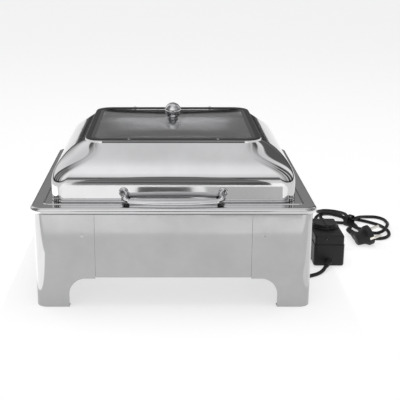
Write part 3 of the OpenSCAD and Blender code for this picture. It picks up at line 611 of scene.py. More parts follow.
def glass_row(share, z):
    """The outline of the pane at a share of the way from its edge to its flat middle"""
    half = [(side - GLASS_IN) * (1 - share) + FLAT_MIDDLE * share for side in GASKET_HALF]
    most = min(half)
    radius = min(22.8 + 30 * math.sin(math.pi * share), most) * (1 - share) + FLAT_MIDDLE * share
    rise = max(0, (share - FLAT_EDGE) / (1 - FLAT_EDGE))
    return (half, min(radius, most - 0.05), z + GLASS_RISE * (1 - (1 - rise) ** 2))


shares = [0] + [FLAT_EDGE + (1 - FLAT_EDGE) * step / 14 for step in range(15)]
pane_rows = [glass_row(share, 239.5) for share in reversed(shares)]
pane_rows += [glass_row(share, 242.5) for share in shares]
pane = loft("glass_pane", pane_rows, corner=8, caps=(0, -1))
finish(pane, 50, "lid", "smoked_glass", "window_glass")
say("glass", pane)

# %% [markdown]
# Round pieces are turned as on a lathe. Half of the section is drawn as a line of edges, and Spin
# carries it once round the axis. The turned piece is then stood or laid where it belongs.

# %% Lathe helper
def turned(name, section, steps=48, place=Matrix.Identity(4)):
    """A piece turned round Z from (radius, height) points, then moved by a matrix"""
    draw_line(name, [(radius, 0, z) for radius, z in section])
    piece = bpy.context.object
    bpy.ops.mesh.spin(steps=steps, angle=math.tau, center=(0, 0, 0), axis=(0, 0, 1))
    bpy.ops.mesh.select_all(action="SELECT")
    bpy.ops.mesh.remove_doubles(threshold=2e-6)
    face_outwards()
    piece.data.transform(place)
    return piece


def at(x, y, z):
    """A matrix that moves by millimetres"""
    return Matrix.Translation(Vector((x, y, z)) * MM)


def facing(axis):
    """A matrix that lays the lathe's Z along another axis"""
    turns = {"x": ("Y", 90), "-x": ("Y", -90), "y": ("X", -90), "-y": ("X", 90), "-z": ("X", 180)}
    name, angle = turns[axis]
    return Matrix.Rotation(math.radians(angle), 4, name)


def arc(centre, radius, start, end, steps):
    """Points of a circle's arc, as (radius, height) pairs"""
    return [(centre[0] + radius * math.cos(math.radians(start + (end - start) * k / steps)),
        centre[1] + radius * math.sin(math.radians(start + (end - start) * k / steps)))
        for k in range(steps + 1)]


print("lathe ready")

# %% [markdown]
# The knob is a polished ball on a thin collar. Its foot is cut flat, and a small neck joins the
# two, which is where the dark line under the ball comes from.

# %% Knob
BALL_Z = 262.35
knob = turned("ball", [(0, 251.3), (6.3, 251.3), (6.5, 251.5)] + arc((0, BALL_Z), 13, -56, 90, 26),
    steps=64)
finish(knob, 40, "lid", "polished_knob", "ball_knob")
collar = turned("collar", [(3, 249.5), (7.1, 249.5), (7.5, 249.8), (7.5, 250.7), (7, 251.2),
    (5.6, 251.3), (3, 251.3)], steps=48)
finish(collar, 40, "lid", "polished_knob", "knob_collar")
say("knob", knob)

# %% [markdown]
# Four small screws hold the gasket and strip. One pan-head screw with a cross slot is made, and
# its copies go to the four places and are joined.

# %% Window screws
def screw_head(radius, height, slot=0.55):
    """A domed head on Z with a crossed slot, its seat at height zero"""
    head = turned("head", [(0, 0), (radius, 0), (radius, height * 0.35), (radius * 0.86, height * 0.8),
        (radius * 0.5, height * 0.98), (0, height)], steps=24)
    for turn in (0, 90):
        tool = block("slot", (-radius * 0.62, -slot / 2, height * 0.62), (radius * 0.62, slot / 2,
            height * 2))
        tool.data.transform(Matrix.Rotation(math.radians(turn), 4, "Z"))
        cut_away(head, tool)
    return shade(head, 35)


def set_of(piece, name, places):
    """Copies of a piece at several places, as one piece"""
    twins = [copy_to(piece, name, place) for place in places]
    bpy.data.objects.remove(piece)
    return join(name, twins)


screws = set_of(screw_head(2.2, 1.2), "window_screw_heads",
    [at(sx * 66, sy * (GASKET_HALF[1] - 2.4), 243.5) for sx in (-1, 1) for sy in (-1, 1)])
settle(screws, "lid", "fasteners", "window_screws")
print("window screws", len(screws.data.polygons), "faces")

# %% [markdown]
# The handle bar is an oval section swept along a shallow arc that bows forward. A circle is
# squashed into the oval at one end and spun about the arc's centre, and two cuts square its ends.

# %% Handle bar
BAR_Z, BAR_END_Y, BOW, CHORD = 162.2, -183.5, 6, 64
ARC_R = (CHORD ** 2 + BOW ** 2) / (2 * BOW)
ARC_HALF = math.asin(CHORD / ARC_R) + math.radians(1.5)


def make_bar():
    """The bowed bar, from x = -64 to x = 64"""
    let_go()
    middle = Vector((0, BAR_END_Y + ARC_R - BOW, BAR_Z)) * MM
    start = middle + Vector((-math.sin(ARC_HALF), -math.cos(ARC_HALF), 0)) * ARC_R * MM
    bpy.ops.mesh.primitive_circle_add(vertices=28, radius=4 * MM, location=start,
        rotation=(math.radians(90), 0, math.radians(90) - ARC_HALF))
    bar = bpy.context.object
    bar.name = "bowed_bar"
    bpy.ops.object.transform_apply(location=True, rotation=True, scale=True)
    across = (start - middle).normalized()
    bar.data.transform(Matrix.Translation(start) @ Matrix.Scale(11 / 8, 4, across)
        @ Matrix.Translation(-start))
    bpy.ops.object.mode_set(mode="EDIT")
    bpy.ops.mesh.select_all(action="SELECT")
    bpy.ops.mesh.spin(steps=48, angle=2 * ARC_HALF, center=middle, axis=(0, 0, -1))
    for side in (-1, 1):
        saw((side * CHORD, 0, 0), (side, 0, 0), clear_outer=True)
    bpy.ops.mesh.select_all(action="SELECT")
    bpy.ops.mesh.remove_doubles(threshold=1e-6)
    face_outwards()
    return bar


bar = shade(make_bar(), 40)
settle(bar, "lid", "polished_knob", "handle_bar")
say("bar", bar)

# %% [markdown]
# Each bracket twists from the bar's end up to a round pad on the skirt, getting wider as it goes.
# Three closed outlines are bridged with curved cuts between them, which gives the twist, and a
# turned pad is joined to its end.

# %% Handle brackets
def add_oval(centre, width, height, rotation):
    """In edit mode, an oval of edges in its own vertex group"""
    bpy.ops.mesh.select_all(action="DESELECT")
    bpy.ops.mesh.primitive_circle_add(vertices=24, radius=1 * MM, location=Vector(centre) * MM)
    bpy.ops.transform.resize(value=(width, height, 1), center_override=Vector(centre) * MM)
    mesh = bmesh.from_edit_mesh(bpy.context.object.data)
    spot = Matrix.Translation(Vector(centre) * MM)
    turn = spot @ rotation.to_4x4() @ spot.inverted()
    bmesh.ops.transform(mesh, matrix=turn, verts=[v for v in mesh.verts if v.select])
    bmesh.update_edit_mesh(bpy.context.object.data)
    bpy.ops.object.vertex_group_assign_new()


def make_bracket():
    """The bracket at the right end of the bar"""
    bracket = start_piece("bracket")
    ovals = (((CHORD, BAR_END_Y, BAR_Z), 4, 5.5, 90, 90), ((68.2, -183, 163.6), 4.3, 5.4, 72, 84),
        ((72, -177.2, 168.6), 4.6, 5.2, 28, 66), ((73, -170.4, 171.6), 5.4, 5.4, 2, 84),
        ((73, -168.8, 172), 6.3, 6.3, 0, 90))
    for centre, width, height, turn, lean in ovals:
        add_oval(centre, width, height, Matrix.Rotation(math.radians(turn), 3, "Z")
            @ Matrix.Rotation(math.radians(lean), 3, "X") @ Matrix.Rotation(math.radians(90), 3, "Z"))
    for number in range(len(ovals) - 1):
        take_outlines(bracket, number, number + 1)
        bpy.ops.mesh.bridge_edge_loops(number_cuts=4, interpolation="SURFACE")
    for number in (0, len(ovals) - 1):
        take_outlines(bracket, number)
        bpy.ops.mesh.edge_face_add()
    face_outwards()
    bracket.vertex_groups.clear()
    pad = turned("pad", [(0, 0), (7, 0), (7, 1.5), (6.5, 2.2), (5.6, 2.5), (0, 2.5)], steps=40,
        place=at(73, -SKIRT_HALF[1], 172) @ facing("-y"))
    return shade(join("bracket_right", [bracket, pad]), 45)


bracket = make_bracket()
twin = copy_to(bracket, "bracket_left", Matrix.Diagonal((-1, 1, 1, 1)))
settle(bracket, "lid", "polished_knob", "handle_bracket_right")
finish(twin, 45, "lid", "polished_knob", "handle_bracket_left")
bumpers = set_of(turned("bumper", [(0, 155.6), (2.4, 155.6), (3, 156.1), (2.9, 157.4), (2.5, 158.2),
    (0, 158.2)], steps=24), "bumper_pair", [at(s * 67, BAR_END_Y, 0) for s in (-1, 1)])
finish(bumpers, 40, "lid", "black_rubber", "handle_bumpers")
print("brackets and bumpers")

# %% [markdown]
# Two hinges join the lid to the back of the rim. The lower leaf lies on the shelf, and its two
# knuckles are fixed to it. The upper leaf stands on the skirt and ends in the middle knuckle.

# %% Hinges
PIN_Y, PIN_Z, HINGE_X = 183, 166, 110


def knuckle(low, high):
    """A round knuckle along x, chamfered at both ends"""
    return turned("knuckle", [(2, low), (3.6, low), (4, low + 0.4), (4, high - 0.4), (3.6, high),
        (2, high), (2, low)], steps=32, place=at(0, PIN_Y, PIN_Z) @ facing("x"))


def plate(low, high, width=0.4):
    """A thin plate with rounded edges"""
    return soften(block("plate", low, high), width, 2)


lower = [plate((-22, 178.5, 155.5), (22, 191.9, 157)), knuckle(-22, -8), knuckle(8, 22)]
lower += [plate((low, 181.8, 156.6), (low + 14, 184.2, 163.5), 0.2) for low in (-22, 8)]
lower = shade(join("lower_leaf", lower), 35)
upper = [plate((-20, 167, 159), (20, 168.5, 178)), knuckle(-7.7, 7.7),
    plate((-7.7, 168, 163.5), (7.7, 180, 168.5), 0.3)]
upper = shade(join("upper_leaf", upper), 35)
sides = [at(s * HINGE_X, 0, 0) for s in (-1, 1)]
settle(set_of(lower, "lower_leaves", sides), "stand", "hinge_steel", "hinge_frame_leaves")
settle(set_of(upper, "upper_leaves", sides), "lid", "hinge_steel", "hinge_lid_leaves")
rod = turned("rod", [(0, -23.2), (2.5, -23.2), (3, -22.8), (3, -22.1), (2, -22), (2, 22),
    (3, 22.1), (3, 22.8), (2.5, 23.2), (0, 23.2)], steps=28, place=at(0, PIN_Y, PIN_Z) @ facing("x"))
settle(shade(set_of(rod, "hinge_rods", sides), 40), "stand", "fasteners", "hinge_pins")
spots = [s * HINGE_X + t * 15 for s in (-1, 1) for t in (-1, 1)]
heads = set_of(screw_head(3, 1.8, 0.8), "leaf_screw_heads", [at(x, PIN_Y + 4.4, 157) for x in spots])
settle(heads, "stand", "fasteners")
heads = set_of(screw_head(3, 1.8, 0.8), "skirt_screw_heads",
    [at(x, 168.5, 167) @ facing("y") for x in spots])
settle(heads, "lid", "fasteners")
print("hinges")

# %% [markdown]
# The controller is a moulded case in two shells. The upper one is set in by a millimetre, which
# leaves a ledge and a fine parting line all round, as on most wall-thin mouldings. Each shell is a
# loft whose first and last outlines round its edges.

# %% Controller case
CONTROL = (262.5, 27.5)
CASE_HALF = (25.5, 49.5)


def shell(name, rows):
    """A closed shell from (inset, height) points, at the controller's place"""
    outlines = [(inset(CASE_HALF, away), max(5 - away, 1), z) for away, z in rows]
    piece = loft(name, outlines, corner=8, caps=(0, -1))
    piece.data.transform(at(*CONTROL, 0))
    return piece


case_base = shell("case_base", [(2.6, 1.5), (1.2, 1.8), (0.4, 2.7), (0, 4.2), (0, 37.9),
    (0.15, 38.4), (0.6, 38.6)])
case_top = shell("case_top", [(1.6, 38.4), (1.6, 39), (1.05, 39.1), (1, 39.5), (1, 51.8),
    (1.3, 53.3), (2.2, 54.4), (3.6, 54.95), (4.6, 55)])
for piece, node in ((case_base, "controller_base"), (case_top, "controller_cover")):
    finish(piece, 32, "stand", "black_plastic", node)
say("case", case_top)

# %% [markdown]
# The dial has a thin skirt, a knob with shallow finger flutes and a raised bar to turn it by. The
# skirt and knob are turned, the flutes are cut with one round cutter at a time, and the bar is
# joined on. The pilot lamp is a small domed lens in the end of the case.

# %% Dial and lamp
DIAL = (262.5, 30, 55.3)
FLUTES = 16
dial = turned("dial_knob", [(0, 0), (22.3, 0), (23, 0.5), (23, 1.4), (22.3, 2), (20.8, 2.1),
    (20.5, 2.5), (20.2, 5.6), (19.4, 6.6), (18, 7), (15.5, 7), (14.8, 6.6), (0, 6.6)], steps=72)
for step in range(FLUTES):
    angle = math.tau * (step + 0.5) / FLUTES
    let_go()
    bpy.ops.mesh.primitive_cylinder_add(vertices=20, radius=2.2 * MM, depth=7 * MM,
        location=(21.9 * MM * math.cos(angle), 21.9 * MM * math.sin(angle), 5.7 * MM))
    cutter = bpy.context.object
    bpy.ops.object.transform_apply(location=True, rotation=True, scale=True)
    cut_away(dial, cutter)
grip = soften(block("grip", (-2, -19, 6.2), (2, 19, 8)), 0.7, 3)
dial = join("dial_knob", [dial, grip])
dial.data.transform(at(*DIAL))
finish(dial, 35, "dial", "dial_plastic", "control_dial")
lamp = turned("lamp_lens", [(0, -4), (2.45, -4), (2.45, 0.1), (2.1, 0.5), (1.2, 0.75), (0, 0.8)],
    steps=28, place=at(257, -21, 49) @ facing("-y"))
finish(lamp, 40, "stand", "lamp_lens", "pilot_lamp")
say("dial", dial)

# %% [markdown]
# A strain relief is a rubber sleeve that tapers along the cord, with grooves that let it bend. One
# section is drawn for both reliefs on the controller, and a longer one for the stand's gland.

# %% Strain reliefs
def relief_section(length, wide, narrow, grooves):
    """A tapering sleeve with grooves, from its housing outwards"""
    points = [(3.2, -2.6), (4.6, -2.6), (4.6, 0), (wide + 0.5, 0), (wide + 0.5, 1.4), (wide, 2)]
    for k in range(grooves):
        near, far = 4 + k * (length - 7) / grooves, 4 + (k + 0.55) * (length - 7) / grooves
        for z, dip in ((near, 0), (near + 0.3, 0.7), (far, 0.7), (far + 0.3, 0)):
            points.append((wide + (narrow - wide) * z / length - dip, z))
    return points + [(narrow, length - 0.8), (narrow - 0.4, length), (3.05, length)]


sleeves = (("sleeve_heater", "relief_heater", at(262.5, -22.3, 9)
        @ Matrix.Rotation(math.radians(-22), 4, "Z") @ facing("-y"), 21.5),
    ("sleeve_mains", "relief_mains", at(258.5, 77, 9) @ facing("y"), 22))
for name, node, place, length in sleeves:
    sleeve = turned(name, relief_section(length, 5.1, 3.8, 5), steps=32, place=place)
    finish(sleeve, 40, "stand", "black_rubber", node)
gland = turned("gland_sleeve", [(3.2, -6), (7.9, -6), (7.9, -3.2), (5.5, -3), (5.5, 0), (7.9, 0),
    (7.9, 2.4), (7.3, 3)] + relief_section(24, 6.3, 4, 5)[5:], steps=32,
    place=at(100, 0, 57.5) @ facing("x"))
finish(gland, 40, "stand", "black_rubber", "heater_gland")
print("three reliefs")

# %% [markdown]
# The plug is the round European kind with side earth contacts, and its cord leaves sideways. The
# body is turned with a rounded front edge and a waisted back, and the cord's arm is turned too and
# set across it. The pins are rounded, and the earth contacts are thin spring strips.

# %% Plug
plug_place = (at(358, 96, 18.4) @ Matrix.Rotation(math.radians(12), 4, "Z")
    @ Matrix.Rotation(math.radians(-18), 4, "Y"))
body = turned("plug_round", [(0, 0.9), (12.5, 0.9), (13, 0), (16.8, 0), (17.7, 0.5), (18, 1.5),
    (18, 8.6), (17.5, 9.8), (15.6, 12), (13.4, 15.5), (12.2, 20), (11.6, 25), (10.6, 28.6), (8.6, 29.8),
    (0, 30)], steps=56, place=plug_place @ facing("-x"))
arm = turned("plug_arm", [(0, 0), (8, 0), (8.2, 3), (7.8, 9), (6.9, 15), (6, 19)]
    + [(r, 19 + z) for r, z in relief_section(27, 5.6, 4.2, 6)[6:]], steps=36,
    place=plug_place @ at(-22, 6, 0) @ facing("y"))
plug = shade(join("plug_moulding", [body, arm]), 35)
settle(plug, "stand", "plug_rubber", "plug_body")
pin = turned("pin", [(0, 0), (2.4, 0), (2.4, 17.4), (2.1, 18.4), (1.3, 18.9), (0, 19)], steps=24)
pins = set_of(pin, "plug_pin_pair", [plug_place @ at(0, 0, s * 9.5) @ facing("x") for s in (-1, 1)])
finish(pins, 40, "stand", "pin_metal", "plug_pins")
clip = soften(block("clip", (-9, 17.9, -2.2), (-0.3, 18.6, 2.2)), 0.25, 2)
clips = set_of(clip, "earth_clip_pair",
    [plug_place @ Matrix.Rotation(math.radians(180 * k), 4, "X") for k in (0, 1)])
finish(clips, 40, "stand", "pin_metal", "plug_earth_clips")
say("plug", plug)

# %% [markdown]
# A flat strap ties the figure of eight at its crossing. It is a closed ring, stood up so that the
# strands run through it.

# %% Strap
strap = loft("lead_strap", [((10, 12), 6, -4.2), ((10, 12), 6, 4.2), ((9.7, 11.7), 5.7, 4.5),
    ((8.9, 10.9), 4.9, 4.5), ((8.6, 10.6), 4.6, 4.2), ((8.6, 10.6), 4.6, -4.2),
    ((8.9, 10.9), 4.9, -4.5), ((9.7, 11.7), 5.7, -4.5)], corner=8, loop=True)
strap.data.transform(at(341, 204, 10) @ Matrix.Rotation(math.radians(-50), 4, "Z") @ facing("x"))
finish(strap, 40, "stand", "black_plastic", "bundle_tie")
settle(heater_lead, "stand", "cord_jacket", "heater_cord")
settle(mains_lead, "stand", "cord_jacket", "mains_cord_start", "mains_bundle", "mains_cord_end")
say("strap", strap)

# %% [markdown]
# Surfaces that more than one material shares are node groups. Rubbing leaves polished sheet with
# soft smudges and fine hairlines, and rolling leaves it slightly wavy, which is what bends the
# reflections. The group gives out the smudges, the hairlines and a height.

# %% Shared surface groups
def feed(tree, node, terms):
    """Set a node's sockets by name or number. A term is a value, or a socket to link"""
    for name, term in terms.items():
        if isinstance(term, bpy.types.NodeSocket):
            tree.links.new(term, node.inputs[name])
        else:
            node.inputs[name].default_value = term
    return node


def node_in(tree, kind, terms, **settings):
    """Add a node with its settings and sockets"""
    node = tree.nodes.new("ShaderNode" + kind)
    for name, value in settings.items():
        setattr(node, name, value)
    return feed(tree, node, terms)


def calc(tree, operation, *terms, kind="Math", out=0):
    """Work out one number or vector from some terms"""
    return node_in(tree, kind, dict(enumerate(terms)), operation=operation).outputs[out]


def mapped(tree, value, low=0.0, high=1.0, to_low=0.0, to_high=1.0, **settings):
    """Carry one range of a value over to another"""
    return node_in(tree, "MapRange", {"Value": value, "From Min": low, "From Max": high,
        "To Min": to_low, "To Max": to_high}, **settings).outputs[0]


def noise(tree, vector, scale, detail, rough=0.5):
    """Cloudy noise"""
    return node_in(tree, "TexNoise", {"Vector": vector, "Scale": scale, "Detail": detail,
        "Roughness": rough}).outputs["Fac"]


def new_group(name, outputs, **inputs):
    """An empty shader group that takes a vector and numbers, and gives numbers"""
    tree = bpy.data.node_groups.new(name, "ShaderNodeTree")
    add = tree.interface.new_socket
    add("Vector", in_out="INPUT", socket_type="NodeSocketVector")
    for label, value in inputs.items():
        add(label, in_out="INPUT", socket_type="NodeSocketFloat").default_value = value
    for label in outputs:
        add(label, in_out="OUTPUT", socket_type="NodeSocketFloat")
    return tree, tree.nodes.new("NodeGroupInput").outputs, tree.nodes.new("NodeGroupOutput")


def make_rubbed():
    """Smudges, hairlines and rolling waves of polished sheet"""
    tree, start, end = new_group("rubbed_sheet", ["Smudge", "Hairline", "Height"], Size=12.0, Waves=1.0)
    smudge = mapped(tree, noise(tree, start["Vector"], start["Size"], 5.0, 0.62), 0.42, 0.72)
    long = calc(tree, "MULTIPLY", start["Vector"], (40.0, 900.0, 1300.0), kind="VectorMath")
    hair = mapped(tree, noise(tree, long, 1.0, 2.0), 0.62, 0.72)
    wave = noise(tree, start["Vector"], calc(tree, "MULTIPLY", start["Size"], 0.9), 1.0)
    tall = calc(tree, "MULTIPLY", wave, start["Waves"])
    total = calc(tree, "MULTIPLY_ADD", hair, -0.004, tall)
    feed(tree, end, {"Smudge": smudge, "Hairline": hair, "Height": total})
    return tree


def make_grain():
    """The fine leather-like grain of mouldings, with broad uneven tone"""
    tree, start, end = new_group("moulded_grain", ["Tone", "Height"], Size=900.0)
    cells = node_in(tree, "TexVoronoi", {"Vector": start["Vector"], "Scale": start["Size"]})
    feed(tree, end, {"Height": cells.outputs["Distance"],
        "Tone": noise(tree, start["Vector"], 22.0, 4.0)})
    return tree


def make_dust():
    """Dust that settles where a surface faces up"""
    tree, start, end = new_group("settled_dust", ["Mask"], Amount=0.2)
    normal = tree.nodes.new("ShaderNodeNewGeometry").outputs["Normal"]
    flat = mapped(tree, node_in(tree, "SeparateXYZ", {0: normal}).outputs[2], 0.35)
    some = mapped(tree, noise(tree, start["Vector"], 260.0, 6.0, 0.8), 0.5, 0.8)
    both = calc(tree, "MULTIPLY", flat, some)
    feed(tree, end, {"Mask": calc(tree, "MULTIPLY", both, start["Amount"])})
    return tree


def make_welds():
    """The shallow round dips that spot welds leave beside each seam of the stand"""
    tree, start, end = new_group("weld_dips", ["Height"])
    size = calc(tree, "ABSOLUTE", start["Vector"], kind="VectorMath")
    parts = node_in(tree, "SeparateXYZ", {0: size}).outputs
    total = 0.0
    for along, at_along in enumerate((0.134, 0.1195)):
        for at_z in (0.05, 0.113):
            flat = node_in(tree, "CombineXYZ", {0: parts[along], 1: parts[2]}).outputs[0]
            gap = calc(tree, "DISTANCE", flat, (at_along, at_z, 0), kind="VectorMath", out=1)
            dip = mapped(tree, gap, 0.0, 0.0035, -1.0, 0.0, interpolation_type="SMOOTHSTEP")
            total = calc(tree, "ADD", total, dip)
    feed(tree, end, {"Height": total})
    return tree


rubbed, grain, dust, welds = make_rubbed(), make_grain(), make_dust(), make_welds()
print("groups", [tree.name for tree in (rubbed, grain, dust, welds)])

# %% [markdown]
# Polished stainless sheet is a mirror with a slightly warm grey of its own. Smudges and hairlines
# make it rougher in places, and the height from the group feeds a Bump node. The same builder
# serves the stand, the pan, the lid and the knob, each with its own numbers. The stand's steel is
# given a darker grey than the lid's and the pan's, which is painted shade on its faces.

# %% Metals
finishes = {}


def use_group(tree, group, coords, **values):
    """Place a shared group in a material, and give its outputs"""
    return feed(tree, node_in(tree, "Group", {}, node_tree=group), {"Vector": coords, **values}).outputs


def blank(name):
    """A material with its tree, shader and object coordinates"""
    material = bpy.data.materials.new(name)
    material.use_nodes = True
    tree = material.node_tree
    finishes[name] = material
    return tree, tree.nodes["Principled BSDF"], tree.nodes.new("ShaderNodeTexCoord").outputs["Object"]


def mix(tree, share, first, second, blend="MIX"):
    """Mix two colours by a share"""
    return node_in(tree, "Mix", {0: share, 6: first, 7: second}, data_type="RGBA",
        blend_type=blend).outputs[2]


def tint(tree, mask, clean, marked):
    """Mix two plain colours by a mask"""
    return mix(tree, mask, (*clean, 1), (*marked, 1))


def bump(tree, height, depth):
    """Bend the light by a height"""
    return node_in(tree, "Bump", {"Height": height, "Strength": 1.0, "Distance": depth}).outputs[0]


def metal(name, colour, rough, marks=0.1, waves=0.05, size=12.0, weld=False):
    """Stainless or plated metal with smudges, hairlines and waves"""
    tree, shader, coords = blank(name)
    rub = use_group(tree, rubbed, coords, Size=size, Waves=waves)
    dirty = use_group(tree, dust, coords, Amount=0.05)
    base = mapped(tree, rub["Smudge"], to_low=rough, to_high=rough + marks)
    lines = calc(tree, "MULTIPLY_ADD", rub["Hairline"], marks * 0.6, base)
    height = rub["Height"]
    if weld:
        dips = use_group(tree, welds, coords)
        height = calc(tree, "MULTIPLY_ADD", dips["Height"], 0.35, height)
    feed(tree, shader, {"Metallic": 1.0,
        "Base Color": tint(tree, rub["Smudge"], colour, [c * 0.9 for c in colour]),
        "Roughness": calc(tree, "ADD", lines, dirty["Mask"]), "Normal": bump(tree, height, 0.0005)})


# The stand's grey is darker than the other polished steels' as painted shade.
metal("polished_sheet", (0.44, 0.44, 0.445), 0.05, 0.06, 0.4, 11.0, weld=True)
metal("polished_pan", (0.6, 0.6, 0.605), 0.06, 0.07, 0.12, 12.0)
metal("polished_lid", (0.63, 0.63, 0.635), 0.04, 0.05, 0.2, 9.0)
metal("polished_knob", (0.62, 0.62, 0.63), 0.04, 0.05, 0.04, 30.0)
metal("plain_sheet", (0.58, 0.58, 0.58), 0.28, 0.12, 0.15, 14.0)
metal("hinge_steel", (0.6, 0.6, 0.6), 0.2, 0.12, 0.05, 60.0)
metal("fasteners", (0.62, 0.62, 0.63), 0.2, 0.1, 0.05, 90.0)
metal("pin_metal", (0.68, 0.66, 0.6), 0.16, 0.12, 0.03, 90.0)
metal("cast_aluminium", (0.6, 0.61, 0.62), 0.42, 0.15, 1.2, 160.0)
metal("heater_tube", (0.2, 0.17, 0.15), 0.45, 0.2, 0.3, 120.0)
metal("thermostat_case", (0.5, 0.48, 0.4), 0.35, 0.12, 0.1, 80.0)
print("metals", len(finishes))

# %% [markdown]
# Mouldings and rubber are dark and slightly uneven. Their grain is too fine to see from afar, but
# it breaks up the highlights, and a little dust lies on top.

# %% Plastics, rubber and ceramic
DUST_COLOUR = (0.5, 0.48, 0.45, 1)


def moulded(name, colour, rough, size, depth, dusty=0.1):
    """A moulded surface with grain, uneven tone and dust"""
    tree, shader, coords = blank(name)
    skin = use_group(tree, grain, coords, Size=size)
    dirty = use_group(tree, dust, coords, Amount=dusty)
    toned = tint(tree, skin["Tone"], colour, [min(1, c * 1.35 + 0.004) for c in colour])
    feed(tree, shader, {"Base Color": mix(tree, dirty["Mask"], toned, DUST_COLOUR),
        "Roughness": mapped(tree, skin["Tone"], to_low=rough - 0.06, to_high=rough + 0.1),
        "Normal": bump(tree, skin["Height"], depth), "Specular IOR Level": 0.3})


moulded("black_plastic", (0.006, 0.006, 0.007), 0.42, 1400.0, 0.00006)
moulded("dial_plastic", (0.008, 0.008, 0.009), 0.34, 900.0, 0.00002)
moulded("black_gasket", (0.018, 0.018, 0.019), 0.42, 700.0, 0.00003, dusty=0.05)
moulded("black_rubber", (0.013, 0.013, 0.013), 0.5, 800.0, 0.00006)
moulded("cord_jacket", (0.006, 0.006, 0.007), 0.46, 900.0, 0.00004, dusty=0.03)
moulded("plug_rubber", (0.008, 0.008, 0.009), 0.44, 1000.0, 0.00005, dusty=0.08)
moulded("ceramic", (0.75, 0.73, 0.66), 0.6, 500.0, 0.00006, dusty=0.1)
moulded("circuit_board", (0.02, 0.12, 0.04), 0.4, 300.0, 0.00002)
print("finishes", len(finishes))

# %% [markdown]
# Glass is a transmitting shader with a real thickness behind it. Faint smears change only its
# roughness. The lamp's lens is the same kind of surface in a deep red.

# %% Glass and lens
BORDER = 14.5


def glassy(name, colour, rough, smear):
    """A clear material whose smears show in its roughness"""
    tree, shader, coords = blank(name)
    rub = use_group(tree, rubbed, coords, Size=16.0, Waves=0.0)
    feed(tree, shader, {"Transmission Weight": 1.0, "IOR": 1.5,
        "Base Color": tint(tree, rub["Smudge"], colour, [c * 0.97 for c in colour]),
        "Roughness": mapped(tree, rub["Smudge"], to_low=rough, to_high=rough + smear)})
    return tree, shader, coords


def print_border(tree, clear, coords, half, radius, width):
    """Lay a black printed border on a pane, by the distance inside its rounded outline"""
    size = calc(tree, "ABSOLUTE", calc(tree, "MULTIPLY", coords, (1, 1, 0), kind="VectorMath"),
        kind="VectorMath")
    away = calc(tree, "SUBTRACT", size, (*(side * MM for side in inset(half, radius)), 0),
        kind="VectorMath")
    past = calc(tree, "MAXIMUM", away, (0, 0, 0), kind="VectorMath")
    far = calc(tree, "LENGTH", past, kind="VectorMath", out=1)
    edge = mapped(tree, far, (radius - width) * MM, (radius - width + 0.6) * MM)
    ink = node_in(tree, "BsdfPrincipled", {"Base Color": (0.012, 0.012, 0.013, 1), "Roughness": 0.12})
    both = node_in(tree, "MixShader", {0: edge, 1: clear.outputs[0], 2: ink.outputs[0]})
    feed(tree, tree.nodes["Material Output"], {"Surface": both.outputs[0]})


print_border(*glassy("smoked_glass", (0.9, 0.905, 0.91), 0.0, 0.03), GASKET_HALF, GASKET_R, BORDER)
glassy("lamp_lens", (0.18, 0.012, 0.01), 0.05, 0.1)


def paint(piece, material):
    """Give a piece one material"""
    piece.data.materials.clear()
    piece.data.materials.append(material)


for name, slot_name in made.items():
    paint(bpy.data.objects[name], finishes[slot_name])
kept = {"plain_sheet": ("pan_frame", "heater_clamp", "heater_cover", "lid_hem"),
    "cast_aluminium": ("heater_plate",), "heater_tube": ("heating_tube",),
    "ceramic": ("thermal_cutout", "terminal_block"), "circuit_board": ("controller_board",),
    "thermostat_case": ("thermostat",), "black_rubber": ("knob_washer", "controller_feet"),
    "fasteners": ("cover_studs", "cover_nuts", "knob_stud", "knob_nut", "handle_screws",
        "hinge_frame_screws", "hinge_lid_screws", "controller_screws", "dial_shaft")}
kept_nodes = {node: name for name, nodes in kept.items() for node in nodes}
for node, name in kept_nodes.items():
    paint(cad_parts[node], finishes[name])
print("painted", len(made), "pieces and", len(kept_nodes), "kept nodes; unpainted:",
    [name for name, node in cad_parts.items() if name not in kept_nodes and not node.hide_render])

# %% [markdown]
# The light is a plain white room. Polished steel shows whatever stands round it, so the room has a
# dim band along its horizon and darker gaps between its white walls. They are what give the lid
# its dark streaks. A wide soft lamp overhead adds the shadow under the stand.

# %% Floor finish, room and lamp
def finish_floor():
    """A pale matt floor that gives some light of its own"""
    tree, shader, coords = blank("floor_sheet")
    feed(tree, shader, {"Base Color": tint(tree, noise(tree, coords, 3.0, 2.0), (0.42,) * 3, (0.4,) * 3),
        "Roughness": 0.7, "Emission Color": (1, 1, 1, 1), "Emission Strength": 0.62})
    paint(floor, finishes["floor_sheet"])


def grey_ramp(tree, value, stops, blue=1.0):
    """A ramp of greys through (position, level) stops"""
    node = node_in(tree, "ValToRGB", {0: value})
    elements = node.color_ramp.elements
    for position, _ in stops[1:-1]:
        elements.new(position)
    for element, (_, level) in zip(elements, stops):
        element.color = (level, level, level * blue, 1)
    return node.outputs[0]


HEIGHTS = ((0.0, 0.4), (0.02, 0.1), (0.045, 0.5), (0.065, 0.1), (0.11, 0.14), (0.15, 0.95),
        (0.35, 1.2), (0.6, 1.15), (0.85, 0.9), (1.0, 0.85))
TURNS = ((0.0, 1.0), (0.12, 1.0), (0.125, 0.3), (0.14, 0.35), (0.145, 0.95), (0.155, 0.9),
    (0.16, 0.05), (0.195, 0.1), (0.2, 0.7), (0.21, 0.6), (0.215, 0.08), (0.25, 0.12),
    (0.255, 0.7), (0.27, 0.1), (0.31, 0.15), (0.32, 0.9), (0.4, 0.8), (0.44, 0.27), (0.55, 0.24),
    (0.58, 0.1), (0.63, 0.12), (0.64, 0.9), (0.68, 0.9), (0.69, 0.12), (0.74, 0.1), (0.745, 0.8),
    (0.76, 0.7), (0.765, 0.06), (0.81, 0.1), (0.82, 0.8), (0.85, 0.3), (1.0, 1.0))


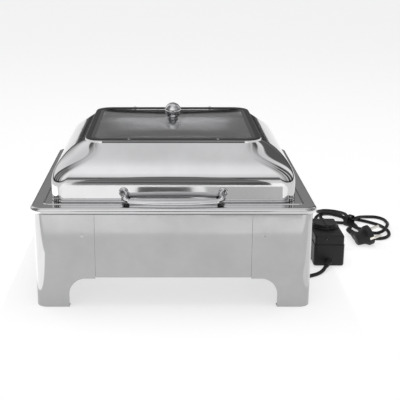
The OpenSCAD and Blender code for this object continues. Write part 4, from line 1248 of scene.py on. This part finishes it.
def build_room():
    """White walls by direction, with a dim horizon and dark gaps"""
    world = bpy.data.worlds.new("room")
    world.use_nodes = True
    bpy.context.scene.world = world
    tree = world.node_tree
    tree.nodes.clear()
    way = node_in(tree, "SeparateXYZ", {0: tree.nodes.new("ShaderNodeTexCoord").outputs["Generated"]})
    x, y, z = way.outputs
    walls = grey_ramp(tree, z, HEIGHTS, 1.01)
    turn = mapped(tree, calc(tree, "ARCTAN2", x, y), -math.pi, math.pi)
    gaps = mix(tree, mapped(tree, z, 0.8, 0.98), grey_ramp(tree, turn, TURNS), (1, 1, 1, 1))
    lit = node_in(tree, "Background", {"Color": mix(tree, 1.0, walls, gaps, "MULTIPLY"),
        "Strength": 1.06})
    plain = node_in(tree, "Background", {"Color": (1, 1, 1, 1), "Strength": 1.0})
    seen = tree.nodes.new("ShaderNodeLightPath").outputs["Is Camera Ray"]
    both = node_in(tree, "MixShader", {0: seen, 1: lit.outputs[0], 2: plain.outputs[0]})
    feed(tree, tree.nodes.new("ShaderNodeOutputWorld"), {"Surface": both.outputs[0]})


def hang_lamp():
    """One large soft lamp overhead, which reflections don't show"""
    light = bpy.data.lights.new("overhead", "AREA")
    light.shape = "RECTANGLE"
    light.size, light.size_y = 2.4, 2.0
    light.energy = 22
    lamp_object = bpy.data.objects.new("overhead", light)
    lamp_object.location = (0, 0.1, 2.2)
    lamp_object.visible_glossy = False
    bpy.context.scene.collection.objects.link(lamp_object)


def stand_card(name, low, high, level, arch_y=None):
    """A card that only reflections show. With arch_y it is an arch stood upright at that y"""
    let_go()
    middle = [(a + b) / 2 * MM for a, b in zip(low, high)]
    if arch_y is None:
        bpy.ops.mesh.primitive_plane_add(size=1, location=middle)
    else:
        bpy.ops.mesh.primitive_circle_add(vertices=64, radius=0.5, fill_type="NGON", location=middle)
    card = bpy.context.object
    card.name = name
    card.scale = ((high[0] - low[0]) * MM, (high[1] - low[1]) * MM, 1)
    bpy.ops.object.transform_apply(location=True, rotation=True, scale=True)
    if arch_y is not None:
        card.data.transform(at(0, arch_y, 0) @ Matrix.Rotation(math.radians(90), 4, "X"))
    tree, shader, coords = blank(name)
    long = calc(tree, "MULTIPLY", coords, (0.8, 1, 14.0), kind="VectorMath")
    stripes = mapped(tree, noise(tree, long, 1.5, 3.0), 0.42, 0.62)
    darkest = level * (0.9 if arch_y is None else 0.1)
    feed(tree, shader, {"Emission Color": tint(tree, stripes, (level,) * 3, (darkest,) * 3),
        "Emission Strength": 1.0, "Base Color": (0, 0, 0, 1)})
    paint(card, finishes[name])
    card.visible_camera = card.visible_diffuse = card.visible_shadow = False


finish_floor()
build_room()
stand_card("bright_table_edge", (-700, -1500, 1), (700, -535, 1), 1.3)
stand_card("dark_flag", (-75, -860, 3), (45, -660, 3), 0.12)
stand_card("dark_arch", (-245, -340, 0), (245, 340, 0), 0.3, arch_y=-1000)
stand_card("mixed_table_end", (75, -880, 2), (300, -640, 2), 0.62)
stand_card("left_reflector", (-900, -420, 1), (-260, 300, 1), 1.9)
stand_card("right_reflector", (270, -300, 1), (620, 60, 1), 1.3)
hang_lamp()
bpy.context.scene.view_settings.view_transform = "Standard"
print("room and lamp ready")

# %% [markdown]
# Last, the selection is dropped.

# %% Finish
let_go()
